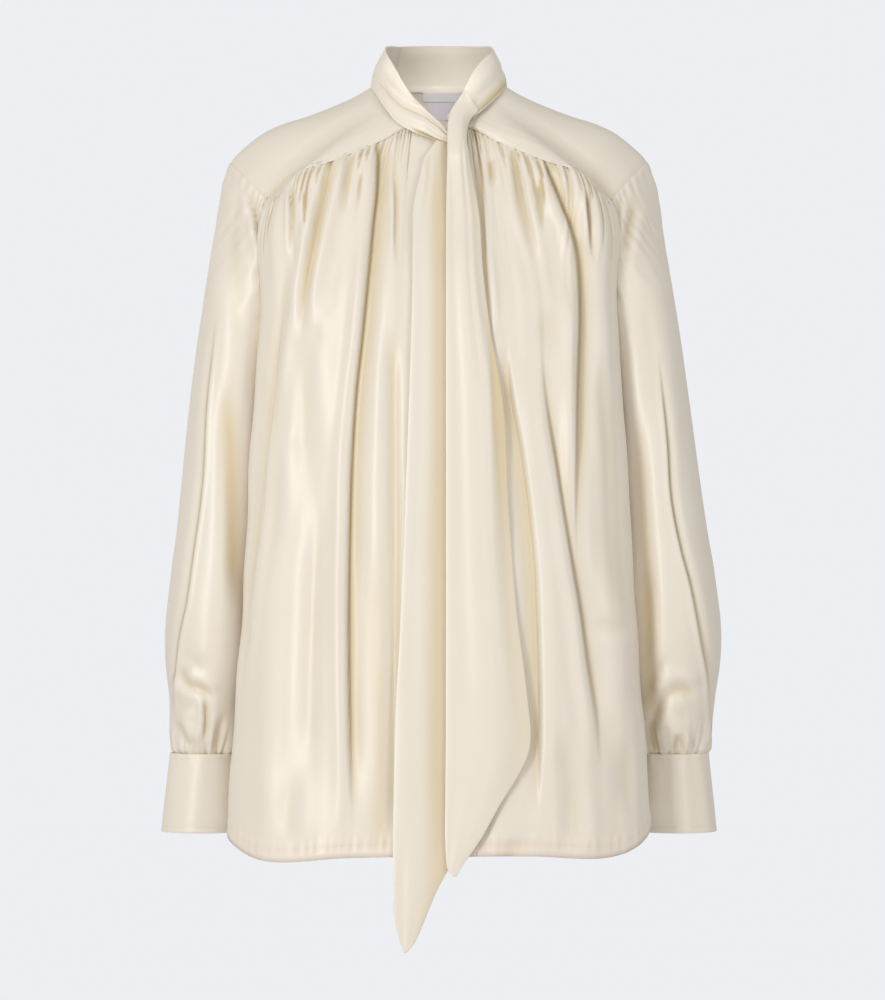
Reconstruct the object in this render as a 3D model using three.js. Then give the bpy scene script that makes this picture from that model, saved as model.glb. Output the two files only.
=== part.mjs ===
// A satin blouse with a yoke, a stand collar and two long ties at the neck,
// worn form with no wearer. Millimetres, +Z up, front towards -Y.
// The origin lies at the middle of the neck base. "left" is the wearer's left, on +X.
import * as THREE from 'three';

const CLOTH = 1.6;
const DOUBLE = 2.4;
const SEAM = 0.6;
const ARMHOLE_SEAM = 0.8;
const UNDERARM_SEAM = 2.3;
// Beside the armhole the sleeve sits this far inside the body's front and back.
const ARMHOLE_SINK = 2.4;
// Over this span of the cosine round the armhole, both walls come to share one direction.
const SHARED_SEAM = { from: -0.75, span: 0.6 };
// Small steps for surface normals, and how close to a seam a direction is taken.
const BODY_STEP = { turn: 0.012, drop: 3 };
const YOKE_STEP = { along: 0.012, across: 0.04 };
const SLEEVE_STEP = { turn: 3, share: 0.006 };
const SEAM_TURN_STEP = 0.004;
const NEAR_SEAM = 2;
const NEAR_EDGE = 0.97;
const SATIN = { color: 0xefe4d2, roughness: 0.42, metalness: 0.0 };
const LABEL_WHITE = { color: 0xf6f6f8, roughness: 0.6, metalness: 0.0 };
const TAB_GREY = { color: 0xd9d6e2, roughness: 0.6, metalness: 0.0 };
const BUTTON_CREAM = { color: 0xe9dfcf, roughness: 0.3, metalness: 0.0 };

// Neck ring: an oval that dips at the front.
const NECK = {
  halfWidth: 63, front: 64, back: 57, centreY: 2, height: 14, frontDip: 52, dipPower: 2.2,
};
// The yoke's front seam meets the neck ring this many degrees round from the left shoulder.
const FRONT_NECK_TURN = -67.6;

// Body sections by drop below the neck base: half width, depth in front and behind,
// and how far the sides are pinched in beside the arms.
const BODY_ROUNDNESS = 2.6;
const BODY_Y = 6;
const ARM_Y = 15;
const ARM_REACH = 55;
const BODY = [
  { drop: 30, side: 118, front: 60, back: 66, pinch: 0 },
  { drop: 100, side: 176, front: 88, back: 100, pinch: 0.06 },
  { drop: 180, side: 186, front: 118, back: 112, pinch: 0.15 },
  { drop: 262, side: 193, front: 128, back: 113, pinch: 0.21 },
  { drop: 300, side: 196, front: 131, back: 113, pinch: 0.222 },
  { drop: 400, side: 202, front: 136, back: 116, pinch: 0.228 },
  { drop: 500, side: 207, front: 140, back: 120, pinch: 0.213 },
  { drop: 600, side: 213, front: 145, back: 127, pinch: 0.192 },
  { drop: 700, side: 217, front: 150, back: 132, pinch: 0.152 },
  { drop: 745, side: 219, front: 152, back: 134, pinch: 0.135 },
];
// Seams ease into the body sections over this length.
const SEAM_EASE = 120;

// Hem drop by quarter turns away from the centre line.
const HEM = [
  { turn: 0, front: 723, back: 733 },
  { turn: 0.35, front: 724, back: 735 },
  { turn: 0.55, front: 728.5, back: 733 },
  { turn: 0.65, front: 725, back: 728 },
  { turn: 0.75, front: 713, back: 716 },
  { turn: 0.85, front: 699, back: 701 },
  { turn: 1, front: 685, back: 685 },
];
const HEM_TILT = 3;

// Left armhole, by degrees from the shoulder tip, over the back and down to the underarm.
const ARMHOLE_STEP = 12;
const ARMHOLE_FRONT_JOINT = 288;
const ARMHOLE_BACK_JOINT = 60;
const ARMHOLE = [
  { turn: 0, x: 203, y: 6, z: -60 },
  { turn: 30, x: 194, y: 36, z: -76 },
  { turn: 60, x: 178, y: 57, z: -110 },
  { turn: 90, x: 175, y: 53, z: -145 },
  { turn: 115, x: 165, y: 43, z: -192 },
  { turn: 150, x: 155, y: 27, z: -242 },
  { turn: 180, x: 152, y: 10, z: -262 },
  { turn: 205, x: 154, y: -16, z: -246 },
  { turn: 235, x: 160, y: -38, z: -196 },
  { turn: 262, x: 166, y: -48, z: -142 },
  { turn: 288, x: 167, y: -46, z: -100 },
  { turn: 315, x: 177, y: -38, z: -87 },
  { turn: 340, x: 190, y: -23, z: -73 },
];

// Yoke seams of the left half, from the neck and from the centre back to the armhole.
const FRONT_SEAM = [
  [24, -57.2, -29.8], [36, -58, -34.5], [53, -64, -44], [79, -72, -55], [111, -75, -67],
  [130, -72, -72], [144, -66, -82], [154, -58, -93], [167, -46, -100],
];
const BACK_SEAM = [[0, 104, -122], [60, 100, -121], [120, 86, -117], [178, 57, -110]];
const FRONT_SEAM_POWER = 1.1;
// Shares of the front panel's top edge: neck, yoke seam, armhole.
const FRONT_NECK_END = 0.2;
const FRONT_SEAM_END = 0.8;
const BACK_SEAM_END = 0.81;

// The yoke runs from its front end at 0 over the shoulder to the centre back at 1.
const YOKE_START = 0.02;
const YOKE = { frontJoint: 0.3, shoulder: 0.5, backJoint: 0.68, shoulderSpan: 0.13 };
const YOKE_NECK = [
  { along: 0, turn: -67.6 },
  { along: 0.3, turn: -35 },
  { along: 0.5, turn: -5 },
  { along: 0.68, turn: 35 },
  { along: 1, turn: 90 },
];
const YOKE_BULGE = [
  { along: 0, rise: 1, lean: -1.2 },
  { along: 0.3, rise: 7, lean: -0.5 },
  { along: 0.5, rise: 12.5, lean: 0 },
  { along: 0.68, rise: 10, lean: 0.5 },
  { along: 1, rise: 9, lean: 0.7 },
];
// Cross profile of the bulge: over the shoulder it peaks near the tip.
const YOKE_CROSS = [
  { across: 0, shoulder: 0, plain: 0 },
  { across: 0.12, shoulder: -0.08, plain: 0.38 },
  { across: 0.3, shoulder: 0.12, plain: 0.78 },
  { across: 0.5, shoulder: 0.52, plain: 1 },
  { across: 0.65, shoulder: 0.93, plain: 0.9 },
  { across: 0.78, shoulder: 1, plain: 0.62 },
  { across: 0.9, shoulder: 0.58, plain: 0.26 },
  { across: 1, shoulder: 0, plain: 0 },
];
const YOKE_COLUMNS = [0, 0.1, 0.25, 0.44, 0.62, 0.78, 0.9, 1];
const YOKE_STEPS = { front: 13, back: 10 };

// The fronts lap: x of each centre edge at the neck and at the hem.
const LAP = {
  right: { neck: 18, hem: 35, under: 0 },
  left: { neck: -14, hem: -2, under: 2.3 },
};
const LAP_EASE = 34;
const LAP_MARGIN = 5;

// Gathers under the yoke: count in each half, height and the rows that carry them.
const GATHERS = { front: 24, back: 18, height: 1.15, ends: 12, level: 0.8, uneven: 0.2 };
const GATHER_DROP = 60;
const GATHER_ROWS = [
  { below: 0, share: 0.2 },
  { below: 9, share: 1 },
  { below: 24, share: 0.75 },
  { below: 48, share: 0.3 },
];
const PANEL_ROWS = 9;
// Side seams lie half a gap away from the side, in turns.
const SIDE_GAP_TURN = 0.0014;
const FRONT_COLUMNS = 30;
const BACK_COLUMNS = 44;

// Main folds: x where each starts and ends, its bow between, its depth and its half width.
const FRONT_FOLDS = [
  { x0: -57, drop0: 46, x1: -82, drop1: 372, bow: 0, depth: 7, width: 8 },
  { x0: -72, drop0: 365, x1: -56, drop1: 745, bow: 0, depth: 9, width: 16 },
  { x0: -101, drop0: 56, x1: -131, drop1: 240, bow: 0, depth: 6, width: 8 },
  { x0: -138, drop0: 88, x1: -138, drop1: 155, bow: 0, depth: 2.4, width: 6 },
  { x0: -105, drop0: 495, x1: -110, drop1: 660, bow: 0, depth: 4, width: 12 },
  { x0: -148, drop0: 285, x1: -180, drop1: 560, bow: 4, depth: 5, width: 12 },
  { x0: 71, drop0: 52, x1: 97, drop1: 170, bow: 0, depth: 4, width: 8 },
  { x0: 95, drop0: 64, x1: 142, drop1: 450, bow: 15, depth: 8, width: 9 },
  { x0: 66, drop0: 262, x1: 96, drop1: 745, bow: 8, depth: 8, width: 14 },
  { x0: 102, drop0: 310, x1: 150, drop1: 640, bow: 2, depth: 4, width: 10 },
];
const BACK_FOLDS = [
  { x0: -60, drop0: 130, x1: -86, drop1: 520, bow: 0, depth: 7, width: 13 },
  { x0: -112, drop0: 128, x1: -138, drop1: 380, bow: 6, depth: 6, width: 11 },
  { x0: -14, drop0: 132, x1: -22, drop1: 745, bow: -8, depth: 7, width: 15 },
  { x0: 40, drop0: 130, x1: 52, drop1: 420, bow: 0, depth: 6, width: 12 },
  { x0: 96, drop0: 128, x1: 128, drop1: 745, bow: 8, depth: 8, width: 15 },
  { x0: -118, drop0: 460, x1: -128, drop1: 745, bow: 0, depth: 6, width: 15 },
];
const FOLD_EASE = 45;
// Where a fold runs off its end it keeps this share of its ease.
const FOLD_TAIL = 0.2;
// Folds die out towards the side seams, and behind the ties.
const FOLD_SIDE = { from: 0.74, to: 0.95 };
const TIE_LANE = { from: 36, span: 18 };

// Left sleeve sections by drop: middle and half size across and from front to back.
const SLEEVE_ROUNDNESS = 2;
const SLEEVE_EASE = 100;
const SLEEVE_END = 633.2;
const SLEEVE = [
  { drop: 60, x: 163, halfX: 40, y: 8, halfY: 48 },
  { drop: 87, x: 170, halfX: 41, y: 8, halfY: 51 },
  { drop: 136, x: 180, halfX: 39, y: 9, halfY: 54 },
  { drop: 184, x: 187, halfX: 40, y: 9, halfY: 57 },
  { drop: 242, x: 196, halfX: 40, y: 10, halfY: 60 },
  { drop: 310, x: 204, halfX: 41, y: 11, halfY: 61 },
  { drop: 369, x: 209.5, halfX: 42.5, y: 12, halfY: 62 },
  { drop: 417, x: 214, halfX: 44, y: 12, halfY: 63 },
  { drop: 456, x: 218, halfX: 46, y: 12, halfY: 65 },
  { drop: 504, x: 221.5, halfX: 47.5, y: 13, halfY: 66 },
  { drop: 543, x: 222, halfX: 47, y: 14, halfY: 63 },
  { drop: 582, x: 223.5, halfX: 40.5, y: 15, halfY: 55 },
  { drop: 615, x: 225, halfX: 35.5, y: 15, halfY: 43 },
  { drop: 634, x: 226, halfX: 34, y: 15, halfY: 34 },
];
// The left sleeve hangs a little fuller than the right one.
const SLEEVE_REACH = { left: 4, right: -4, drop: 500, spread: 150 };
const SLEEVE_ROWS = [0, 0.03, 0.08, 0.15, 0.25, 0.37, 0.5, 0.63, 0.75, 0.84, 0.91, 0.96, 1];
const CUFF_PLEATS = { count: 10, height: 2, turn: 9, from: 0.86, rise: 0.08, end: 0.6 };
const SLEEVE_FOLDS = [
  { turn: 312, drop0: 120, drop1: 520, depth: 3, width: 16 },
  { turn: 20, drop0: 480, drop1: 600, depth: 4, width: 14 },
  { turn: 255, drop0: 330, drop1: 590, depth: 4, width: 15 },
  { turn: 75, drop0: 250, drop1: 560, depth: 4, width: 16 },
];

// Cuffs: a strip that goes round once and laps at the outer back.
const CUFF = {
  x: 226, y: 15, top: 634, bottom: 710, halfX: 34, halfY: 33, flareX: 4, flareY: 2,
  shift: 4, lapTurn: 38, lap: 28, rise: 3.4, inset: 1, columns: 32, rows: 2,
};
const BUTTON = { radius: 5.5, thick: 2.6, rim: 0.5, gap: 0.3, drop: 672, sides: 20 };

// Collar stations from the right front end round the back to the left front end:
// the sewn edge (low) and the free edge (high).
const COLLAR = [
  { low: [25, -69, -42.5], high: [24, -69.5, -31] },
  { low: [17, -75.5, -45], high: [17, -74, -34] },
  { low: [6.8, -76, -46.3], high: [7.2, -75, -37.5] },
  { low: [-2.8, -74, -44], high: [1, -71, -29.5] },
  { low: [-12.4, -70, -39.5], high: [-12.4, -64.5, -16.5] },
  { low: [-26, -66.5, -33.5], high: [-19.5, -59.5, -8] },
  { low: [-40, -60, -24.5], high: [-26.8, -53, 1.2] },
  { low: [-52.5, -49, -8], high: [-35.5, -43, 14.6] },
  { low: [-62, -30, 7.5], high: [-41.5, -31, 27] },
  { low: [-66, -6, 15.6], high: [-51, -12, 45] },
  { low: [-64, 18, 15.6], high: [-50, 14, 53] },
  { low: [-46, 43, 15], high: [-38, 35, 55] },
  { low: [-25, 55.5, 15], high: [-20, 46.5, 56.5] },
  { low: [0, 60.5, 15], high: [0, 50.5, 57] },
  { low: [25, 55.5, 15], high: [20, 46.5, 56.5] },
  { low: [46, 43, 15], high: [38, 35, 55] },
  { low: [64, 18, 15.6], high: [50, 14, 53] },
  { low: [65.5, -6, 15.6], high: [51, -11, 45] },
  { low: [59.5, -30, 7], high: [44, -22, 38.6] },
  { low: [46.5, -49.5, -7.5], high: [31, -42, 20] },
  { low: [37.5, -58.5, -15.8], high: [24, -51, 4.3] },
  { low: [26, -62.5, -23.5], high: [14, -57, -14] },
  { low: [15, -63, -32], high: [7, -60.5, -21] },
];
const COLLAR_ROWS = 46;
const COLLAR_CURVE = 2.5;
const COLLAR_FLAT_END = 0.22;

// Ties by drop: left and right edges, how far the front face stands proud of the
// fronts' middle line, and how far the right edge turns back.
const TIE_OVER = [
  { drop: 13, left: 8, right: 21.5, proud: 3.5, recede: 0 },
  { drop: 17, left: 7.6, right: 23.5, proud: 7.5, recede: 0 },
  { drop: 25, left: 7.5, right: 25.5, proud: 13, recede: 0.5 },
  { drop: 36, left: 7.8, right: 27, proud: 17, recede: 1 },
  { drop: 50, left: 7.8, right: 28.8, proud: 16.5, recede: 1 },
  { drop: 68, left: 7.6, right: 30.5, proud: 13.5, recede: 1 },
  { drop: 119, left: 6.8, right: 38.9, proud: 8.5, recede: 2 },
  { drop: 167, left: 6.7, right: 41.7, proud: 8, recede: 3 },
  { drop: 222, left: 6.7, right: 48.2, proud: 7.6, recede: 4 },
  { drop: 300, left: 6.7, right: 61.2, proud: 6.9, recede: 5 },
  { drop: 390, left: 6.7, right: 65.8, proud: 6.9, recede: 5.5 },
  { drop: 492, left: 6.7, right: 73.4, proud: 6.9, recede: 5.5 },
  { drop: 560, left: 6.6, right: 82, proud: 6.9, recede: 5 },
  { drop: 613, left: 6.5, right: 86.3, proud: 6.9, recede: 5 },
  { drop: 633, left: 6.3, right: 81.7, proud: 6.9, recede: 4 },
  { drop: 676, left: 6, right: 56.3, proud: 6.9, recede: 2 },
  { drop: 706, left: 5.8, right: 39.4, proud: 6.9, recede: 1 },
  { drop: 735, left: 8.5, right: 19.8, proud: 6.9, recede: 0 },
  { drop: 741, left: 13, right: 17, proud: 6.9, recede: 0 },
];
const TIE_UNDER = [
  { drop: 39, left: -2, right: 8, proud: 3.5, recede: 0 },
  { drop: 49, left: -4.8, right: 8, proud: 4.6, recede: 0 },
  { drop: 59, left: -13.3, right: 9, proud: 4.4, recede: 0 },
  { drop: 78, left: -18, right: 10, proud: 4.6, recede: 0 },
  { drop: 106, left: -23.7, right: 12, proud: 4.8, recede: 0 },
  { drop: 150, left: -25, right: 14, proud: 4.4, recede: 0 },
  { drop: 199, left: -25.4, right: 17, proud: 3.3, recede: 0 },
  { drop: 294, left: -28.2, right: 21, proud: 3.3, recede: 0 },
  { drop: 370, left: -31, right: 23, proud: 3.3, recede: 0 },
  { drop: 444, left: -33.7, right: 25, proud: 3.3, recede: 0 },
  { drop: 529, left: -37.5, right: 26, proud: 3.3, recede: 0 },
  { drop: 576, left: -40.2, right: 27, proud: 3.3, recede: 0 },
  { drop: 640, left: -42, right: 27.4, proud: 3.3, recede: 0 },
  { drop: 706, left: -43, right: 27, proud: 3.3, recede: 0 },
  { drop: 735, left: -43, right: 9.1, proud: 3.3, recede: 0 },
  { drop: 757, left: -43, right: -2.7, proud: 3.3, recede: 0 },
  { drop: 782, left: -41.6, right: -13, proud: 3.3, recede: 0 },
  { drop: 803, left: -36.4, right: -22.4, proud: 3.3, recede: 0 },
  { drop: 813, left: -33, right: -30.5, proud: 3.3, recede: 0 },
];
const TIE_ROWS = 26;
const TIE_COLUMNS = 6;

// Label and tab lie inside the back of the yoke: places across it, from the neck down.
const LABEL = { x: 3, halfWidth: 17, top: 0.012, bottom: 0.088, thick: 0.7, gap: 0.5 };
const TAB = { x: 3, halfWidth: 12.2, top: 0.092, bottom: 0.235, thick: 0.7, gap: 0.5 };
const YOKE_SPREAD = { neck: 161, seam: 550 };

const vector = (x, y, z) => new THREE.Vector3(x, y, z);
const degrees = (angle) => angle * Math.PI / 180;
const mirrored = (point, side) => vector(point.x * side, point.y, point.z);

function smooth(value) {
  const t = Math.min(Math.max(value, 0), 1);
  return t * t * (3 - 2 * t);
}

// A smooth curve through one column of a table, held flat past its ends.
function read(table, key, column, at) {
  const last = table.length - 1;
  if (at <= table[0][key]) {
    return table[0][column];
  }
  if (at >= table[last][key]) {
    return table[last][column];
  }
  let i = 0;
  while (table[i + 1][key] < at) {
    i += 1;
  }
  const slope = (k) => {
    const before = table[Math.max(k - 1, 0)];
    const after = table[Math.min(k + 1, last)];
    return (after[column] - before[column]) / (after[key] - before[key]);
  };
  const span = table[i + 1][key] - table[i][key];
  const t = (at - table[i][key]) / span;
  const rise = t * t * (3 - 2 * t);
  const leave = t * (1 - t) * (1 - t) * span * slope(i);
  const arrive = t * t * (1 - t) * span * slope(i + 1);
  return table[i][column] * (1 - rise) + table[i + 1][column] * rise + leave - arrive;
}

function curveThrough(points, closed = false) {
  return new THREE.CatmullRomCurve3(points.map((p) => vector(...p)), closed);
}

// Joins two rows of stations whose places along the row may differ in number.
function zip(upper, lower, add) {
  let i = 0;
  let j = 0;
  while (i < upper.length - 1 || j < lower.length - 1) {
    const stepUpper = j === lower.length - 1
      || (i < upper.length - 1 && upper[i + 1].at + upper[i].at <= lower[j + 1].at + lower[j].at + 1e-9);
    if (stepUpper) {
      add(upper[i], lower[j], upper[i + 1]);
      i += 1;
    } else {
      add(upper[i], lower[j], lower[j + 1]);
      j += 1;
    }
  }
}

// A closed cloth wall through rows of stations, each { at, outer, inner }.
// A tube's rows each end with their own first station again.
function wallGeometry(rows, tube) {
  const corners = [];
  const face = (a, b, c) => corners.push(a, b, c);
  for (let r = 0; r + 1 < rows.length; r += 1) {
    zip(rows[r], rows[r + 1], (a, b, c) => {
      face(a.outer, b.outer, c.outer);
      face(a.inner, c.inner, b.inner);
    });
  }
  const rim = (a, b) => {
    face(a.outer, b.outer, b.inner);
    face(a.outer, b.inner, a.inner);
  };
  const top = rows[0];
  const bottom = rows[rows.length - 1];
  for (let i = 0; i + 1 < top.length; i += 1) {
    rim(top[i], top[i + 1]);
  }
  for (let i = 0; i + 1 < bottom.length; i += 1) {
    rim(bottom[i + 1], bottom[i]);
  }
  for (let r = 0; r + 1 < rows.length && !tube; r += 1) {
    rim(rows[r + 1][0], rows[r][0]);
    rim(rows[r][rows[r].length - 1], rows[r + 1][rows[r + 1].length - 1]);
  }
  let volume = 0;
  for (let i = 0; i < corners.length; i += 3) {
    volume += corners[i].dot(corners[i + 1].clone().cross(corners[i + 2]));
  }
  if (volume < 0) {
    corners.reverse();
  }
  const geometry = new THREE.BufferGeometry();
  geometry.setFromPoints(corners);
  geometry.computeVertexNormals();
  return geometry;
}

// Normal of a surface by small steps along both of its directions.
function facing(surface, a, b, stepA, stepB) {
  const alongA = surface(a + stepA, b).sub(surface(a - stepA, b));
  const alongB = surface(a, b + stepB).sub(surface(a, b - stepB));
  return alongA.cross(alongB).normalize();
}

function station(at, outer, direction, thickness) {
  return { at, outer, inner: outer.clone().addScaledVector(direction, -thickness) };
}

function neckPoint(turn) {
  const c = Math.cos(degrees(turn));
  const s = Math.sin(degrees(turn));
  const dip = NECK.frontDip * Math.max(0, -s) ** NECK.dipPower;
  const depth = s < 0 ? NECK.front : NECK.back;
  return vector(NECK.halfWidth * c, NECK.centreY + depth * s, NECK.height - dip);
}

const armholeCurve = curveThrough(ARMHOLE.map((row) => [row.x, row.y, row.z]), true);

function armholePoint(turn) {
  const at = (turn % 360 + 360) % 360;
  let i = ARMHOLE.length - 1;
  while (ARMHOLE[i].turn > at) {
    i -= 1;
  }
  const next = i + 1 < ARMHOLE.length ? ARMHOLE[i + 1].turn : 360;
  const share = (at - ARMHOLE[i].turn) / (next - ARMHOLE[i].turn);
  return armholeCurve.getPoint((i + share) / ARMHOLE.length);
}

const frontSeam = curveThrough(FRONT_SEAM);
const backSeam = curveThrough(BACK_SEAM);

// Body turn: 0 at the centre front, 1 at the left side, 2 at the centre back,
// and -1 at the right side. Away from the centre line each half counts from 0 to 1.
function half(turn) {
  const folded = turn > 2 ? turn - 4 : turn;
  const side = folded < 0 ? -1 : 1;
  const away = Math.abs(folded);
  const behind = away > 1;
  return { side, behind, away: behind ? 2 - away : away };
}

function topPoint(turn) {
  const { side, behind, away } = half(turn);
  const seamEnd = behind ? BACK_SEAM_END : FRONT_SEAM_END;
  if (away >= seamEnd) {
    const share = (away - seamEnd) / (1 - seamEnd);
    const joint = behind ? ARMHOLE_BACK_JOINT : ARMHOLE_FRONT_JOINT;
    return mirrored(armholePoint(joint + (180 - joint) * share), side);
  }
  if (behind) {
    return mirrored(backSeam.getPoint(away / BACK_SEAM_END), side);
  }
  if (away <= FRONT_NECK_END) {
    return mirrored(neckPoint(-90 + (90 + FRONT_NECK_TURN) * away / FRONT_NECK_END), side);
  }
  const share = (away - FRONT_NECK_END) / (FRONT_SEAM_END - FRONT_NECK_END);
  return mirrored(frontSeam.getPoint(share ** FRONT_SEAM_POWER), side);
}

function sectionPoint(turn, drop) {
  const angle = (turn - 1) * Math.PI / 2;
  const c = Math.cos(angle);
  const s = Math.sin(angle);
  const side = read(BODY, 'drop', 'side', drop);
  const depth = read(BODY, 'drop', s < 0 ? 'front' : 'back', drop);
  const sum = (Math.abs(c) / side) ** BODY_ROUNDNESS + (Math.abs(s) / depth) ** BODY_ROUNDNESS;
  const reach = sum ** (-1 / BODY_ROUNDNESS);
  const y = BODY_Y + reach * s;
  const pinch = read(BODY, 'drop', 'pinch', drop) * Math.exp(-(((y - ARM_Y) / ARM_REACH) ** 2));
  return vector(reach * c * (1 - pinch), y, -drop);
}

// Smooth body surface below the yoke, before folds and gathers.
function bodyPoint(turn, drop) {
  const top = topPoint(turn);
  const ease = 1 - smooth((drop + top.z) / SEAM_EASE);
  const shift = top.sub(sectionPoint(turn, -top.z)).multiplyScalar(ease);
  return sectionPoint(turn, drop).add(shift);
}

const bodyFacing = (turn, drop) => facing(bodyPoint, turn, drop, BODY_STEP.turn, BODY_STEP.drop).negate();

function hemDrop(turn) {
  const { side, behind, away } = half(turn);
  const tilt = -side * HEM_TILT * smooth(away) * (behind ? 0.5 : 1);
  return read(HEM, 'turn', behind ? 'back' : 'front', away) + tilt;
}

function foldDepth(turn, base) {
  const { behind, away } = half(turn);
  const drop = -base.z;
  const atSide = 1 - smooth((away - FOLD_SIDE.from) / (FOLD_SIDE.to - FOLD_SIDE.from));
  const lane = behind ? 1 : smooth((Math.abs(base.x) - TIE_LANE.from) / TIE_LANE.span);
  let depth = 0;
  for (const fold of behind ? BACK_FOLDS : FRONT_FOLDS) {
    const share = (drop - fold.drop0) / (fold.drop1 - fold.drop0);
    const x = fold.x0 + (fold.x1 - fold.x0) * share + fold.bow * 4 * share * (1 - share);
    const leave = smooth((fold.drop1 - drop) / FOLD_EASE + FOLD_TAIL);
    const ease = smooth((drop - fold.drop0) / FOLD_EASE) * leave;
    depth += fold.depth * ease * Math.exp(-(((base.x - x) / fold.width) ** 2));
  }
  return depth * atSide * lane;
}

const yokeNeckPoint = (along) => neckPoint(read(YOKE_NECK, 'along', 'turn', along));

function yokeEdgePoint(along) {
  if (along < YOKE.frontJoint) {
    return frontSeam.getPoint((along / YOKE.frontJoint) ** FRONT_SEAM_POWER);
  }
  if (along <= YOKE.shoulder) {
    const share = (along - YOKE.frontJoint) / (YOKE.shoulder - YOKE.frontJoint);
    return armholePoint(ARMHOLE_FRONT_JOINT + (360 - ARMHOLE_FRONT_JOINT) * share);
  }
  if (along <= YOKE.backJoint) {
    const share = (along - YOKE.shoulder) / (YOKE.backJoint - YOKE.shoulder);
    return armholePoint(ARMHOLE_BACK_JOINT * share);
  }
  return backSeam.getPoint((1 - along) / (1 - YOKE.backJoint));
}

// Yoke surface: along from the front end to the centre back, past 1 the other half.
function yokePoint(along, across) {
  const side = along > 1 ? -1 : 1;
  const at = along > 1 ? 2 - along : along;
  const point = yokeNeckPoint(at).lerp(yokeEdgePoint(at), across);
  const overShoulder = Math.exp(-(((at - YOKE.shoulder) / YOKE.shoulderSpan) ** 2));
  const cross = read(YOKE_CROSS, 'across', 'shoulder', across) * overShoulder
    + read(YOKE_CROSS, 'across', 'plain', across) * (1 - overShoulder);
  const lean = vector(0, read(YOKE_BULGE, 'along', 'lean', at), 1).normalize();
  point.addScaledVector(lean, read(YOKE_BULGE, 'along', 'rise', at) * cross);
  return mirrored(point, side);
}

function yokeFacing(along, across) {
  return facing(yokePoint, along, across, YOKE_STEP.along, YOKE_STEP.across).negate();
}

// Outward direction at the yoke seam, shared by the yoke and the panel below it.
function yokeSeamFacing(turn) {
  const { side, behind, away } = half(turn);
  const along = behind
    ? 1 - (1 - YOKE.backJoint) * Math.min(away / BACK_SEAM_END, 1)
    : YOKE.frontJoint * (away - FRONT_NECK_END) / (FRONT_SEAM_END - FRONT_NECK_END);
  const own = bodyFacing(turn, -topPoint(turn).z + NEAR_SEAM);
  const yoke = mirrored(yokeFacing(Math.max(along, YOKE_START), NEAR_EDGE), side);
  return own.add(yoke).normalize();
}

function sleeveSection(turn, drop) {
  const angle = degrees(turn);
  const c = Math.cos(angle);
  const s = Math.sin(angle);
  const halfX = read(SLEEVE, 'drop', 'halfX', drop);
  const halfY = read(SLEEVE, 'drop', 'halfY', drop);
  const sum = (Math.abs(c) / halfX) ** SLEEVE_ROUNDNESS + (Math.abs(s) / halfY) ** SLEEVE_ROUNDNESS;
  const reach = sum ** (-1 / SLEEVE_ROUNDNESS);
  const middle = vector(read(SLEEVE, 'drop', 'x', drop), read(SLEEVE, 'drop', 'y', drop), -drop);
  return middle.add(vector(reach * c, reach * s, 0));
}

// Sleeve surface by degrees round and by the share of its length, 0 at the armhole.
function sleevePoint(turn, share) {
  const seam = armholePoint(turn);
  const below = (1 - Math.cos(degrees(turn))) / 2;
  const gap = ARMHOLE_SEAM + (UNDERARM_SEAM - ARMHOLE_SEAM) * smooth(2 * below - 1);
  const sink = -ARMHOLE_SINK * Math.sin(degrees(turn)) * smooth(4 * below);
  seam.add(vector(gap * (0.75 + 0.25 * below), sink, -0.7 * gap * (1 - below)));
  const drop = -seam.z + (SLEEVE_END + seam.z) * share;
  const ease = 1 - smooth((drop + seam.z) / SLEEVE_EASE);
  const shift = seam.sub(sleeveSection(turn, -seam.z)).multiplyScalar(ease);
  return sleeveSection(turn, drop).add(shift);
}

function sleeveFacing(turn, share) {
  return facing(sleevePoint, turn, share, SLEEVE_STEP.turn, SLEEVE_STEP.share).negate();
}

function torsoFacing(turn) {
  if (turn <= ARMHOLE_BACK_JOINT) {
    const share = turn / ARMHOLE_BACK_JOINT;
    return yokeFacing(YOKE.shoulder + (YOKE.backJoint - YOKE.shoulder) * share, NEAR_EDGE);
  }
  if (turn >= ARMHOLE_FRONT_JOINT) {
    const share = (turn - ARMHOLE_FRONT_JOINT) / (360 - ARMHOLE_FRONT_JOINT);
    return yokeFacing(YOKE.frontJoint + (YOKE.shoulder - YOKE.frontJoint) * share, NEAR_EDGE);
  }
  const behind = turn < 180;
  const joint = behind ? ARMHOLE_BACK_JOINT : ARMHOLE_FRONT_JOINT;
  const share = (turn - joint) / (180 - joint);
  const seamEnd = behind ? BACK_SEAM_END : FRONT_SEAM_END;
  const away = seamEnd + (1 - seamEnd) * share;
  const bodyTurn = behind ? 2 - away : away;
  return bodyFacing(bodyTurn, -topPoint(bodyTurn).z + NEAR_SEAM);
}

// Outward direction at the armhole: shared by both sides over the shoulder,
// and each side's own one under the arm, where the two walls hang face to face.
function armholeFacing(turn, own) {
  const at = (turn % 360 + 360) % 360;
  const shared = torsoFacing(at).add(sleeveFacing(at, 0.01)).normalize();
  const over = smooth((Math.cos(degrees(at)) - SHARED_SEAM.from) / SHARED_SEAM.span);
  return own.clone().lerp(shared, over).normalize();
}

function turns(count, from, to) {
  return Array.from({ length: count + 1 }, (_, i) => from + (to - from) * i / count);
}

// Turn of a centre edge that lies at x, counted towards the panel's own side.
function edgeTurn(side, x, drop) {
  const near = FRONT_NECK_END / 2;
  return side * x * near / bodyPoint(near, drop).x;
}

const lapX = (lap, drop) => lap.neck + (lap.hem - lap.neck) * drop / HEM[0].front;

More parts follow.
